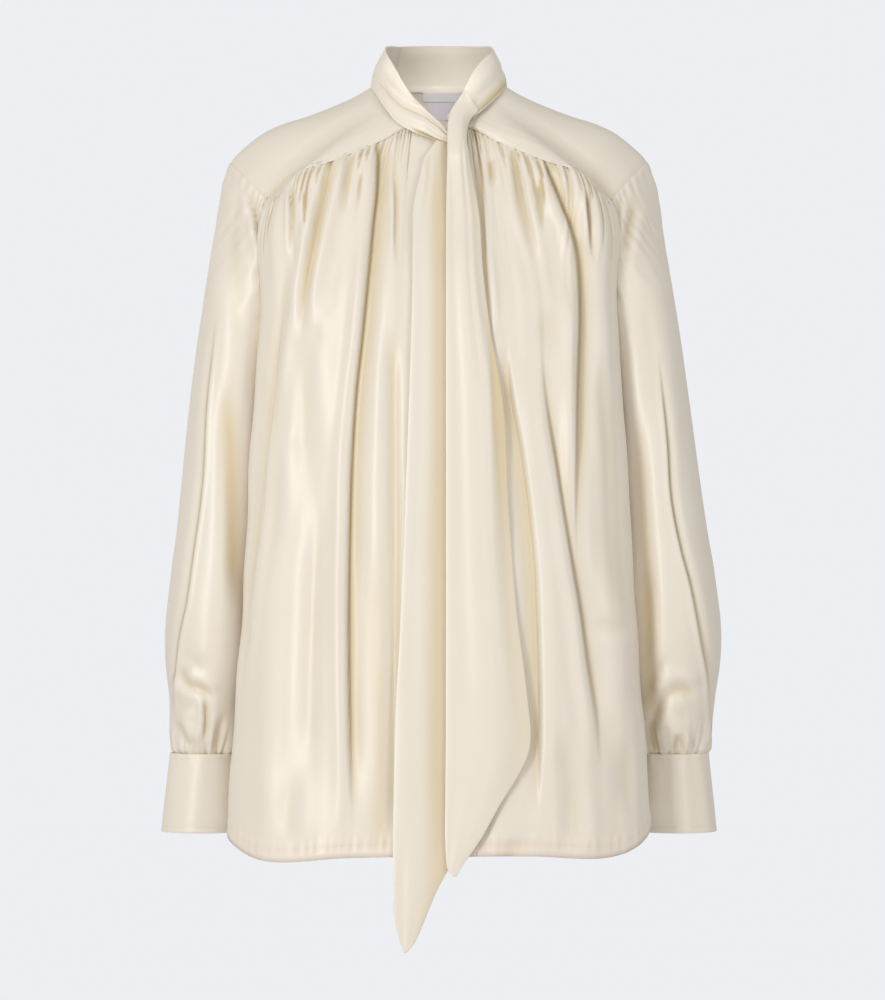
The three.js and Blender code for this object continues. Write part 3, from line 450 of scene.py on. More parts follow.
class BlouseForm:
    """The smooth worn form that every piece of the blouse lies on."""

    @staticmethod
    def mirrored(points: Array, side: Array | float) -> Array:
        """Points on the left half moved to a side."""
        return points * np.stack(np.broadcast_arrays(side, 1.0, 1.0), axis=-1)

    @staticmethod
    def facing(surface: Callable[[Array, Array], Array], a: Array, b: Array, step_a: float, step_b: float) -> Array:
        """Outward direction of a surface.

        Args:
            surface: Gives points from its two directions.
            a: Places in the first direction.
            b: Places in the second direction.
            step_a: Small step in the first direction.
            step_b: Small step in the second direction.

        Returns:
            One unit vector for each place.
        """
        along_a = surface(a + step_a, b) - surface(a - step_a, b)
        along_b = surface(a, b + step_b) - surface(a, b - step_b)
        return -unit(np.cross(along_a, along_b))

    @staticmethod
    def half(turn: Array) -> tuple[Array, Array, Array]:
        """Side, whether behind, and turns away from the centre line.

        Args:
            turn: Turns round the body.

        Returns:
            The three values for each turn.
        """
        folded = np.where(turn > 2, turn - 4, turn)
        side = np.where(folded < 0, -1.0, 1.0)
        away = np.abs(folded)
        behind = away > 1
        return side, behind, np.where(behind, 2 - away, away)

    @staticmethod
    def neck(turn: Array) -> Array:
        """Points on the neck ring, by degrees from the left shoulder.

        Args:
            turn: Degrees from the left shoulder.

        Returns:
            One point for each turn.
        """
        c, s = np.cos(np.radians(turn)), np.sin(np.radians(turn))
        dip = NECK["dip"] * np.maximum(0, -s) ** NECK["power"]
        depth = np.where(s < 0, NECK["front"], NECK["back"])
        return stack(NECK["half_width"] * c, NECK["centre_y"] + depth * s, NECK["height"] - dip)

    @staticmethod
    def armhole(turn: Array) -> Array:
        """Points on the left armhole, by degrees from the shoulder tip.

        Args:
            turn: Degrees from the shoulder tip.

        Returns:
            One point for each turn.
        """
        at = np.mod(turn, 360.0)
        i = np.searchsorted(ARMHOLE_TURNS, at, side="right") - 1
        following = np.append(ARMHOLE_TURNS[1:], 360.0)
        share = (at - ARMHOLE_TURNS[i]) / (following[i] - ARMHOLE_TURNS[i])
        return ARMHOLE.at((i + share) / len(ARMHOLE_TURNS))

    def top(self, turn: Array) -> Array:
        """Points on the top edge of the fronts and the back.

        Args:
            turn: Turns round the body.

        Returns:
            One point for each turn.
        """
        side, behind, away = self.half(turn)
        neck = self.neck(-90 + (90 + FRONT_NECK_TURN) * np.clip(away / FRONT_NECK_END, 0, 1))
        share = np.clip((away - FRONT_NECK_END) / (FRONT_SEAM_END - FRONT_NECK_END), 0, 1)
        front = FRONT_SEAM.at(share ** FRONT_SEAM_POWER)
        back = BACK_SEAM.at(np.clip(away / BACK_SEAM_END, 0, 1))
        end = np.where(behind, BACK_SEAM_END, FRONT_SEAM_END)
        joint = np.where(behind, ARMHOLE_BACK_JOINT, ARMHOLE_FRONT_JOINT)
        arm = self.armhole(joint + (180 - joint) * np.clip((away - end) / (1 - end), 0, 1))
        seam = np.where((away <= FRONT_NECK_END)[..., None], neck, front)
        seam = np.where(behind[..., None], back, seam)
        return self.mirrored(np.where((away >= end)[..., None], arm, seam), side)

    @staticmethod
    def section(turn: Array, drop: Array) -> Array:
        """Points on the body's rounded sections, away from its seams.

        Args:
            turn: Turns round the body.
            drop: Drops below the neck base.

        Returns:
            One point for each place.
        """
        angle = (turn - 1) * math.pi / 2
        c, s = np.cos(angle), np.sin(angle)
        depth = np.where(s < 0, BODY.read("front", drop), BODY.read("back", drop))
        total = (np.abs(c) / BODY.read("side", drop)) ** BODY_ROUNDNESS + (np.abs(s) / depth) ** BODY_ROUNDNESS
        reach = total ** (-1 / BODY_ROUNDNESS)
        y = BODY_Y + reach * s
        pinch = BODY.read("pinch", drop) * bell(y - ARM_Y, ARM_REACH)
        return stack(reach * c * (1 - pinch), y, -drop)

    def body(self, turn: Array, drop: Array) -> Array:
        """Points on the smooth body below its top edge.

        Args:
            turn: Turns round the body.
            drop: Drops below the neck base.

        Returns:
            One point for each place.
        """
        top = self.top(turn)
        ease = 1 - smooth((drop + top[..., 2]) / SEAM_EASE)
        shift = (top - self.section(turn, -top[..., 2])) * ease[..., None]
        return self.section(turn, drop) + shift

    def body_facing(self, turn: Array, drop: Array) -> Array:
        """Outward direction of the body."""
        return self.facing(self.body, turn, drop, 0.012, 3.0)

    def hem_drop(self, turn: Array) -> Array:
        """Drop of the hem.

        Args:
            turn: Turns round the body.

        Returns:
            One drop for each turn.
        """
        side, behind, away = self.half(turn)
        level = np.where(behind, HEM.read("back", away), HEM.read("front", away))
        return level - side * HEM_TILT * smooth(away) * np.where(behind, 0.5, 1.0)

    def centre_front(self, drop: Array) -> Array:
        """How far forward the fronts' middle line lies."""
        zero = np.zeros_like(drop)
        return self.body(zero, np.maximum(drop, -self.top(zero)[..., 2]))[..., 1]

    def yoke_edge(self, along: Array) -> Array:
        """Points on the yoke's outer edge, left half.

        Args:
            along: Shares from the front end to the centre back.

        Returns:
            One point for each share.
        """
        front = FRONT_SEAM.at(np.clip(along / YOKE_FRONT_JOINT, 0, 1) ** FRONT_SEAM_POWER)
        ahead = np.clip((along - YOKE_FRONT_JOINT) / (YOKE_SHOULDER - YOKE_FRONT_JOINT), 0, 1)
        behind = np.clip((along - YOKE_SHOULDER) / (YOKE_BACK_JOINT - YOKE_SHOULDER), 0, 1)
        arm = self.armhole(np.where(along <= YOKE_SHOULDER,
                                    ARMHOLE_FRONT_JOINT + (360 - ARMHOLE_FRONT_JOINT) * ahead,
                                    ARMHOLE_BACK_JOINT * behind))
        back = BACK_SEAM.at(np.clip((1 - along) / (1 - YOKE_BACK_JOINT), 0, 1))
        edge = np.where((along < YOKE_FRONT_JOINT)[..., None], front, arm)
        return np.where((along > YOKE_BACK_JOINT)[..., None], back, edge)

    def yoke(self, along: Array, across: Array) -> Array:
        """Points on the yoke, from its left front end at 0 over the back at 1 to 2.

        Args:
            along: Places along the yoke, from 0 to 2.
            across: Shares from the neck to the edge.

        Returns:
            One point for each place.
        """
        side = np.where(along > 1, -1.0, 1.0)
        at = np.where(along > 1, 2 - along, along)
        neck = self.neck(YOKE_NECK.read("turn", at))
        edge = self.yoke_edge(at)
        point = neck + (edge - neck) * across[..., None]
        over = bell(at - YOKE_SHOULDER, YOKE_SHOULDER_SPAN)
        cross = YOKE_CROSS.read("shoulder", across) * over + YOKE_CROSS.read("plain", across) * (1 - over)
        lean = unit(stack(0.0, YOKE_BULGE.read("lean", at), 1.0))
        point = point + lean * (YOKE_BULGE.read("rise", at) * cross)[..., None]
        return self.mirrored(point, side)

    def yoke_facing(self, along: Array, across: Array) -> Array:
        """Outward direction of the yoke."""
        return self.facing(self.yoke, along, across, 0.012, 0.04)

    @staticmethod
    def sleeve_section(turn: Array, drop: Array) -> Array:
        """Points on the sleeve's oval sections.

        Args:
            turn: Degrees round the sleeve.
            drop: Drops below the neck base.

        Returns:
            One point for each place.
        """
        c, s = np.cos(np.radians(turn)), np.sin(np.radians(turn))
        reach = ((c / SLEEVE.read("half_x", drop)) ** 2 + (s / SLEEVE.read("half_y", drop)) ** 2) ** -0.5
        return stack(SLEEVE.read("x", drop) + reach * c, SLEEVE.read("y", drop) + reach * s, -drop)

    def sleeve(self, turn: Array, share: Array) -> Array:
        """Points on the left sleeve, by degrees round and share of its length.

        Args:
            turn: Degrees round from the shoulder.
            share: Shares down the sleeve.

        Returns:
            One point for each place.
        """
        below = (1 - np.cos(np.radians(turn))) / 2
        gap = ARMHOLE_SEAM + (UNDERARM_SEAM - ARMHOLE_SEAM) * smooth(2 * below - 1)
        sink = -ARMHOLE_SINK * np.sin(np.radians(turn)) * smooth(4 * below)
        seam = self.armhole(turn) + stack(gap * (0.75 + 0.25 * below), sink, -0.7 * gap * (1 - below))
        drop = -seam[..., 2] + (SLEEVE_END + seam[..., 2]) * share
        ease = 1 - smooth((drop + seam[..., 2]) / SLEEVE_EASE)
        shift = (seam - self.sleeve_section(turn, -seam[..., 2])) * ease[..., None]
        return self.sleeve_section(turn, drop) + shift

    def sleeve_facing(self, turn: Array, share: Array) -> Array:
        """Outward direction of the left sleeve."""
        return self.facing(self.sleeve, turn, share, 3.0, 0.006)

    @staticmethod
    def collar(along: Array, up: Array) -> Array:
        """Points on the collar, from the right front end round the back to the left one.

        Args:
            along: Shares along the collar.
            up: Shares up it.

        Returns:
            One point for each place.
        """
        at = np.clip(along, 0, 1)
        low, high = COLLAR_LOW.at(at), COLLAR_HIGH.at(at)
        point = low + (high - low) * up[..., None]
        outward = unit(point * np.array([1.0, 1.0, 0.0]))
        ends = smooth(np.minimum(at, 1 - at) / 0.22)
        return point + outward * (2.5 * ends * np.sin(math.pi * up))[..., None]

    def collar_facing(self, along: Array, up: Array) -> Array:
        """Outward direction of the collar."""
        return self.facing(self.collar, along, up, 0.008, 0.08)


FORM = BlouseForm()


class Tailor:
    """Turns grids of points into pieces of cloth."""

    @staticmethod
    def blurred(points: Array, reach: tuple[int, int], wrap: bool) -> Array:
        """A grid smoothed over a few rows and columns.

        Args:
            points: The grid.
            reach: Rows and columns to each side.
            wrap: Whether each row closes on itself.

        Returns:
            The smoothed grid.
        """
        result = points
        for axis, count in enumerate(reach):
            if count < 1:
                continue
            mode = "wrap" if wrap and axis == 1 else "edge"
            body = result[:, :-1] if mode == "wrap" else result
            pad = [(0, 0)] * result.ndim
            pad[axis] = (count + 1, count)
            padded = np.pad(body, pad, mode=mode)
            sums = np.cumsum(padded, axis=axis)
            size = body.shape[axis]
            high = np.take(sums, np.arange(size) + 2 * count + 1, axis=axis)
            low = np.take(sums, np.arange(size), axis=axis)
            body = (high - low) / (2 * count + 1)
            result = np.concatenate([body, body[:, :1]], axis=1) if mode == "wrap" else body
        return result

    @classmethod
    def hollow_shade(cls, points: Array, facing: Array, reach: tuple[int, int], full: float, wrap: bool) -> Array:
        """How deep each point lies between the rolls beside it, from 0 to 1, as an amount of painted shade.

        Args:
            points: Its grid of points.
            facing: Outward direction at each point.
            reach: Rows and columns that the rolls span.
            full: Depth that counts as 1.
            wrap: Whether each row closes on itself.

        Returns:
            One value for each point.
        """
        once = cls.blurred(points, reach, wrap)
        twice = cls.blurred(once, reach, wrap)
        return smooth(np.sum((twice - points) * facing, axis=-1) / full)

    @staticmethod
    def rows_of_faces(rows: int, columns: int, wrap: bool) -> tuple[Array, Array]:
        """Corners of a grid's faces, by vertex and by place in the grid.

        Args:
            rows: Rows of the grid.
            columns: Its columns.
            wrap: Whether each row closes on itself.

        Returns:
            Four vertices and four places for each face.
        """
        count = columns - 1 if wrap else columns
        vertex = np.arange(rows * count).reshape(rows, count)
        if wrap:
            vertex = np.concatenate([vertex, vertex[:, :1]], axis=1)
        place = np.arange(rows * columns).reshape(rows, columns)

        def corners(grid: Array) -> Array:
            """Four corners of each face."""
            four = [grid[:-1, :-1], grid[:-1, 1:], grid[1:, 1:], grid[1:, :-1]]
            return np.stack(four, axis=-1).reshape(-1, 4)

        return corners(vertex), corners(place)

    @classmethod
    def sheet(cls, name: str, points: Array, facing: Array, shades: dict[str, Array],
              wrap: bool = False) -> bpy.types.Object:
        """Make a single layer of cloth.

        Args:
            name: The piece's name.
            points: Rows of points in millimetres.
            facing: Outward direction at each point.
            shades: Values from 0 to 1 at each point, by the name that the finish reads.
            wrap: Whether each row closes on itself.

        Returns:
            The new object, with its cut as a UV map in metres.
        """
        rows, columns = points.shape[:2]
        faces, places = cls.rows_of_faces(rows, columns, wrap)
        flat = points.reshape(-1, 3)
        sides = np.cross(flat[places[:, 2]] - flat[places[:, 0]], flat[places[:, 3]] - flat[places[:, 1]])
        if np.sum(sides * facing.reshape(-1, 3)[places[:, 0]]) < 0:
            faces, places = faces[:, ::-1], places[:, ::-1]
        kept = points[:, :-1] if wrap else points
        mesh = bpy.data.meshes.new(name)
        mesh.vertices.add(kept.shape[0] * kept.shape[1])
        mesh.vertices.foreach_set("co", (kept * MM).astype(np.float32).ravel())
        mesh.loops.add(faces.size)
        mesh.loops.foreach_set("vertex_index", faces.astype(np.int32).ravel())
        mesh.polygons.add(len(faces))
        mesh.polygons.foreach_set("loop_start", np.arange(0, faces.size, 4, dtype=np.int32))
        mesh.update(calc_edges=True)
        mesh.polygons.foreach_set("use_smooth", np.ones(len(faces), bool))
        across = np.linalg.norm(np.diff(points[rows // 2], axis=0), axis=-1)
        down = np.linalg.norm(np.diff(points[:, columns // 2], axis=0), axis=-1)
        u = np.concatenate([[0], np.cumsum(across)]) * MM
        v = np.concatenate([[0], np.cumsum(down)]) * MM
        cut = np.stack(np.meshgrid(u, v), axis=-1).reshape(-1, 2)
        layer = mesh.uv_layers.new(name="cut")
        layer.data.foreach_set("uv", cut[places.ravel()].astype(np.float32).ravel())
        for title, values in shades.items():
            shade = mesh.attributes.new(title, "FLOAT", "POINT")
            values = values[:, :-1] if wrap else values
            shade.data.foreach_set("value", values.astype(np.float32).ravel())
        mesh.update()
        piece = bpy.data.objects.new(name, mesh)
        bpy.context.scene.collection.objects.link(piece)
        return piece

    @staticmethod
    def settle(piece: bpy.types.Object) -> bpy.types.Object:
        """Apply a piece's modifiers to its mesh.

        Args:
            piece: The piece.

        Returns:
            The same object.
        """
        graph = bpy.context.evaluated_depsgraph_get()
        mesh = bpy.data.meshes.new_from_object(piece.evaluated_get(graph))
        piece.modifiers.clear()
        piece.data = mesh
        return piece

    @classmethod
    def thicken(cls, piece: bpy.types.Object, thickness: float, round_edge: float = 0.0) -> bpy.types.Object:
        """Give a sheet its wall, inwards from its outer face.

        Args:
            piece: A single layer of cloth.
            thickness: Wall in millimetres.
            round_edge: Radius of its edges, or 0.

        Returns:
            The same object, closed.
        """
        wall = piece.modifiers.new("wall", "SOLIDIFY")
        wall.thickness = thickness * MM
        wall.offset = -1
        if round_edge:
            edge = piece.modifiers.new("edge", "BEVEL")
            edge.width = round_edge * MM
            edge.segments = 2
            edge.limit_method = "ANGLE"
            edge.angle_limit = math.radians(55)
        return cls.settle(piece)


class Value:
    """A shader socket that takes part in sums written as Python."""

    def __init__(self, finish: "ShaderBook", socket: bpy.types.NodeSocket) -> None:
        """Keep the socket and the material it belongs to."""
        self.finish = finish
        self.socket = socket

    def joined(self, operation: str, first: object, second: object) -> "Value":
        """One Math node on two numbers or sockets."""
        node = self.finish.add("ShaderNodeMath", {"operation": operation}, {0: first, 1: second})
        return Value(self.finish, node.outputs[0])

    def __add__(self, other: object) -> "Value":
        """Sum."""
        return self.joined("ADD", self, other)

    def __radd__(self, other: object) -> "Value":
        """Sum, from the right."""
        return self.joined("ADD", other, self)

    def __sub__(self, other: object) -> "Value":
        """Difference."""
        return self.joined("SUBTRACT", self, other)

    def __rsub__(self, other: object) -> "Value":
        """Difference, from the right."""
        return self.joined("SUBTRACT", other, self)

    def __mul__(self, other: object) -> "Value":
        """Product."""
        return self.joined("MULTIPLY", self, other)

    def __rmul__(self, other: object) -> "Value":
        """Product, from the right."""
        return self.joined("MULTIPLY", other, self)

    def power(self, other: object) -> "Value":
        """This value raised to another."""
        return self.joined("POWER", self, other)


class ShaderBook:
    """One material and the nodes that it is made of."""

    def __init__(self, name: str) -> None:
        """Start an empty material.

        Args:
            name: The material's name.
        """
        self.material = bpy.data.materials.new(name)
        self.material.use_nodes = True
        self.tree = self.material.node_tree
        self.tree.nodes.clear()

    def add(self, kind: str, settings: dict[str, object] | None = None,
            sockets: dict[str | int, object] | None = None) -> bpy.types.Node:
        """Add one node.

        Args:
            kind: The node's type.
            settings: Its settings, with "stops" for a ramp's places and colours.
            sockets: Values or links of its inputs.

        Returns:
            The node.
        """
        node = self.tree.nodes.new(kind)
        for key, value in (settings or {}).items():
            if key == "stops":
                ramp = node.color_ramp.elements
                for i, (place, colour) in enumerate(value):
                    stop = ramp[i] if i < len(ramp) else ramp.new(place)
                    stop.position = place
                    stop.color = colour
            else:
                setattr(node, key, value)
        for key, value in (sockets or {}).items():
            target = node.inputs[key]
            if isinstance(value, Value):
                value = value.socket
            if isinstance(value, bpy.types.NodeSocket):
                self.tree.links.new(value, target)
            else:
                target.default_value = value
        return node

    def value(self, node: bpy.types.Node, output: str | int = 0) -> Value:
        """An output of a node, for sums."""
        return Value(self, node.outputs[output])

    def blend(self, share: object, first: object, second: object) -> bpy.types.NodeSocket:
        """Mix two colours."""
        mix = self.add("ShaderNodeMix", {"data_type": "RGBA"}, {0: share, 6: first, 7: second})
        return mix.outputs[2]

    def close(self, surface: bpy.types.Node) -> bpy.types.Material:
        """Link the surface to the material's output."""
        self.add("ShaderNodeOutputMaterial", {}, {"Surface": surface.outputs[0]})
        return self.material


@dataclass(frozen=True)
class SatinFinish:
    """Ivory satin with a soft sheen, and painted golden shade and crease shadow where the cloth folds in."""

    name: str = "ivory_satin"
    cream: Colour = (0.825, 0.755, 0.65, 1)
    pale: Colour = (0.865, 0.81, 0.725, 1)
    # Colours of the painted golden shade in the folds and of the painted crease shadow along their bottoms.
    warm_shade: Colour = (0.69, 0.56, 0.31, 1)
    dark_shade: Colour = (0.34, 0.24, 0.11, 1)
    double: Colour = (0.86, 0.75, 0.65, 1)
    roughness: float = 0.385
    thread: float = 0.00032

    def make(self) -> bpy.types.Material:
        """Build the material.

        Returns:
            The material.
        """
        book = ShaderBook(self.name)
        cut = book.add("ShaderNodeUVMap", {"uv_map": "cut"})
        place = book.add("ShaderNodeTexCoord")
        # The mesh carries painted shade amounts: golden shade in the folds' grooves and crease shadow along their
        # bottoms.
        hollow_shade = book.value(book.add("ShaderNodeAttribute", {"attribute_name": "hollow_shade"}), "Fac")
        cloud = book.add("ShaderNodeTexNoise", {}, {"Vector": place.outputs["Object"], "Scale": 9.0, "Detail": 2.0})
        streaks = book.add("ShaderNodeMapping", {}, {"Vector": cut.outputs[0], "Scale": (900.0, 60.0, 1.0)})
        thread = book.add("ShaderNodeTexNoise", {}, {"Vector": streaks.outputs[0], "Scale": 1.0, "Detail": 2.0})
        crumple = book.add("ShaderNodeTexNoise", {},
                           {"Vector": place.outputs["Object"], "Scale": 42.0, "Detail": 3.0})
        tone = book.blend(book.value(cloud), self.cream, self.pale)
        turned = book.value(book.add("ShaderNodeAttribute", {"attribute_name": "turned"}), "Fac")
        tone = book.blend(turned * 0.6, tone, self.double)
        # Paint golden shade into the grooves, then crease shadow along their bottoms.
        colour = book.blend(hollow_shade * 0.85, tone, self.warm_shade)
        crease = book.value(book.add("ShaderNodeAttribute", {"attribute_name": "crease"}), "Fac")
        colour = book.blend(crease * 0.85, colour, self.dark_shade)
        rough = book.value(thread) * 0.1 + book.value(cloud) * 0.06 + (self.roughness - 0.08)
        relief = book.value(thread) * 0.02 + book.value(crumple) * 0.22
        bump = book.add("ShaderNodeBump", {}, {"Strength": 0.35, "Distance": 0.0012, "Height": relief})
        surface = book.add("ShaderNodeBsdfPrincipled", {}, {
            "Base Color": colour, "Roughness": rough, "Normal": bump.outputs[0], "Specular IOR Level": 0.52,
            "Sheen Weight": 0.05, "Sheen Roughness": 0.4, "Sheen Tint": (1.0, 0.93, 0.8, 1),
        })
        return book.close(surface)


@dataclass(frozen=True)
class WovenFinish:
    """Plain close-woven tape, such as a label's."""

    name: str
    colour: Colour
    shade: Colour

    def make(self) -> bpy.types.Material:
        """Build the material.

        Returns:
            The material.
        """
        book = ShaderBook(self.name)
        cut = book.add("ShaderNodeUVMap", {"uv_map": "cut"})
        ribs = book.add("ShaderNodeTexWave", {"bands_direction": "Y"},
                        {"Vector": cut.outputs[0], "Scale": 420.0, "Distortion": 0.6})
        colour = book.blend(book.value(ribs) * 0.3, self.colour, self.shade)
        bump = book.add("ShaderNodeBump", {}, {"Strength": 0.2, "Distance": 0.0003, "Height": book.value(ribs)})
        surface = book.add("ShaderNodeBsdfPrincipled", {}, {
            "Base Color": colour, "Roughness": 0.72, "Normal": bump.outputs[0], "Sheen Weight": 0.15,
        })
        return book.close(surface)


@dataclass(frozen=True)
class ButtonFinish:
    """Glossy cream shell of a small button."""

    name: str = "cream_button"
    colour: Colour = (0.82, 0.73, 0.6, 1)
    light: Colour = (0.9, 0.84, 0.74, 1)

    def make(self) -> bpy.types.Material:
        """Build the material.

        Returns:
            The material.
        """
        book = ShaderBook(self.name)
        place = book.add("ShaderNodeTexCoord")
        cloud = book.add("ShaderNodeTexNoise", {}, {"Vector": place.outputs["Object"], "Scale": 260.0, "Detail": 3.0})
        colour = book.blend(book.value(cloud), self.colour, self.light)
        surface = book.add("ShaderNodeBsdfPrincipled", {}, {
            "Base Color": colour, "Roughness": 0.22, "Coat Weight": 0.3, "Coat Roughness": 0.1,
        })
        return book.close(surface)


@dataclass
class Workroom:
    """The finishes, and the last steps that every piece goes through."""

    satin: bpy.types.Material
    label: bpy.types.Material
    tab: bpy.types.Material
    button: bpy.types.Material
    pieces: list[bpy.types.Object] = field(default_factory=list)

    def dress(self, piece: bpy.types.Object, node: str | None, finish: bpy.types.Material) -> None:
        """Give a piece its material and its place on the frame.

        Args:
            piece: The finished piece.
            node: The solid that it stands for, or None.
            finish: Its material.
        """
        piece.data.materials.clear()
        piece.data.materials.append(finish)
        if node:
            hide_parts(node)
        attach(piece, "root")
        self.pieces.append(piece)
        triangles = sum(len(face.vertices) - 2 for face in piece.data.polygons)
        surface = sum(face.area for face in piece.data.polygons) / 2
        logging.info("%s: %d triangles, %.4f square metres a layer", piece.name, triangles, surface)


@dataclass(frozen=True)
class Cut:
    """The flat piece of cloth that a maker would cut, in metres and square metres."""

    width: float
    length: float
    area: float
    hold: Hold
    rests_on: tuple[str, ...]

    def declare(self, piece: bpy.types.Object, with_pieces: tuple[bpy.types.Object, ...] = ()) -> None:
        """Take a finished piece and the pieces sewn to it; nothing is done with them."""


@dataclass(frozen=True)
class Lap:
    """Where a front's centre edge lies, at the neck and at the hem."""

    neck: float
    hem: float
    under: float

    def x(self, drop: Array) -> Array:
        """Place of the edge at a drop."""
        return self.neck + (self.hem - self.neck) * drop / FRONT_HEM


LAPS = {Side.RIGHT: Lap(18, 35, 0), Side.LEFT: Lap(-14, -2, 1.9)}

RIGHT_FRONT_FOLDS = (
    Fold(((-101, 54), (-109, 97), (-116, 129), (-123.5, 166), (-128, 195), (-131, 246)), 5.5, 5.0, 0.5, 14, 80,
         Wall.NONE, 1.0, 0.9),
    Fold(((-131, 200), (-130, 280), (-124, 350), (-118, 430)), 2.4, 12, 0.4, 70, 90, Wall.NONE, 0.2, 0),
    Fold(((-82, 54), (-87, 83), (-92.5, 118)), 3.4, 3.8, 0.4, 12, 40, Wall.NONE, 0.8, 0.4),
    Fold(((-57.6, 44), (-59, 96), (-61.5, 118), (-64.5, 152), (-69.4, 205), (-73, 242), (-77, 278), (-80, 318),
          (-82.5, 370), (-84, 440), (-84.5, 520), (-83, 620), (-80, 700)), 6.5, 9.5, 0.42, 14, 110, Wall.LEFT, 0.85, 1.0),
    Fold(((-60, 420), (-60, 520), (-56, 620), (-54, 735)), 3.6, 14, 0.2, 90, 40, Wall.NONE, 0.55, 0),
    Fold(((-43.5, 70), (-41.5, 110), (-41.6, 140), (-39, 180)), 2.6, 3.8, 0.4, 30, 70, Wall.LEFT, 0.8, 0.3),
    Fold(((-44, 220), (-43, 300), (-41, 420), (-41, 560), (-41, 720)), 3.6, 8, 0.2, 60, 60, Wall.NONE, 0.7, 0),
    Fold(((-142, 84), (-141, 118), (-142.6, 160)), 3.2, 3.4, 0.5, 24, 60, Wall.LEFT, 0.7, 0.8),
    Fold(((-144, 150), (-152, 240), (-155, 340), (-160, 420), (-165, 480)), 2.6, 7, 0.4, 60, 90, Wall.NONE, 0.25, 0),
    Fold(((-114, 380), (-119, 482), (-121.5, 577), (-123, 665)), 3.4, 9, 0.4, 90, 90, Wall.NONE, 0.25, 0),
    Fold(((-150, 200), (-160, 300), (-168, 390), (-178, 470), (-187, 560)), 3.4, 7, 0.4, 70, 80, Wall.RIGHT, 0.3, 0.1),
    Fold(((-96, 110), (-104, 180), (-106, 250)), 2.0, 9, 0.3, 40, 90, Wall.NONE, 0.2, 0),
    Fold(((-92, 300), (-93, 440), (-93, 560), (-95, 720)), -2.4, 9, 0.1, 80, 40, Wall.NONE, 0, 0),
    Fold(((-155, 400), (-158, 520), (-163, 700)), -2.2, 15, 0.1, 80, 60, Wall.NONE, 0, 0),
    Fold(((-72, 130), (-76, 200), (-88, 300)), -1.8, 5, 0.1, 40, 80, Wall.NONE, 0, 0),
    Fold(((-118, 90), (-128, 150), (-136, 220)), -1.8, 4.5, 0.1, 30, 60, Wall.NONE, 0, 0),
    Fold(((-124, 218), (-114, 232), (-100, 236)), 1.8, 9, 0.3, 20, 30, Wall.NONE, 0.2, 0),
    Fold(((-142, 320), (-128, 336), (-116, 336)), 1.4, 10, 0.3, 20, 30, Wall.NONE, 0.2, 0),
    Fold(((-140, 640), (-146, 715)), 2.0, 9, 0.4, 40, 30, Wall.NONE, 0.2, 0),
)
LEFT_FRONT_FOLDS = (
    Fold(((70.5, 50), (74, 80), (78, 103), (86, 134), (95, 172)), 4.2, 4.4, 0.5, 14, 60, Wall.NONE, 0.7, 0.9),
    Fold(((48, 60), (50, 82), (51, 92)), 3.4, 3.2, 0.5, 10, 16, Wall.NONE, 0.9, 1.0),
    Fold(((40, 60), (43, 120), (46, 180), (52, 240)), 3.4, 5, 0.3, 20, 60, Wall.RIGHT, 0.9, 0.2),
    Fold(((98, 58), (108, 84), (116, 104), (124, 124), (131, 150), (133.8, 180), (134.2, 220), (133, 256),
          (131.6, 300), (131, 360), (132, 410), (134, 460)), 6.8, 8.5, 0.42, 18, 170, Wall.LEFT, 0.9, 1.0),
    Fold(((140, 92), (142.5, 118), (145, 142), (148, 168)), 3.4, 3.4, 0.5, 14, 40, Wall.LEFT, 0.7, 1.0),
    Fold(((121, 56), (124, 84), (129, 112)), 2.6, 3.2, 0.4, 12, 30, Wall.NONE, 0.6, 0.4),
    Fold(((63, 240), (68, 290), (77, 340), (84, 390), (90, 450), (93, 520), (94, 600), (92, 690)), 6.0, 11, 0.3, 60,
         90, Wall.RIGHT, 0.75, 0.1),
    Fold(((98, 240), (102, 290), (106, 320), (111, 350), (119, 400), (127, 450), (134, 490), (141, 540),
          (149, 590), (155, 650)), 5.0, 9, 0.45, 120, 110, Wall.LEFT, 0.35, 0.75),
    Fold(((152, 240), (161, 313), (168.6, 407), (176, 520)), 2.8, 9, 0.4, 60, 80, Wall.NONE, 0.25, 0),
    Fold(((99, 200), (104, 225), (106, 262)), 2.2, 13, 0.3, 30, 40, Wall.NONE, 0.35, 0),
    Fold(((104, 400), (112, 500), (121, 690)), -2.8, 13, 0.1, 80, 40, Wall.NONE, 0, 0),
    Fold(((160, 430), (168, 520), (174, 600)), -2.6, 15, 0.1, 60, 60, Wall.NONE, 0, 0),
    Fold(((143, 504), (164, 508), (186, 504)), 1.8, 8, 0.4, 16, 16, Wall.NONE, 0.2, 0),
    Fold(((112, 150), (118, 230), (114, 330)), -1.8, 7, 0.1, 60, 90, Wall.NONE, 0, 0),
    Fold(((84, 70), (92, 130), (104, 200)), -1.6, 5, 0.1, 30, 60, Wall.NONE, 0, 0),
    Fold(((118, 600), (124, 660), (128, 722)), 2.2, 10, 0.4, 40, 30, Wall.NONE, 0.3, 0),
    Fold(((52, 740), (66, 722), (84, 700)), 2.0, 9, 0.3, 20, 20, Wall.NONE, 0.4, 0),
    Fold(((176, 610), (180, 690)), 2.2, 9, 0.4, 40, 30, Wall.NONE, 0.3, 0),
)
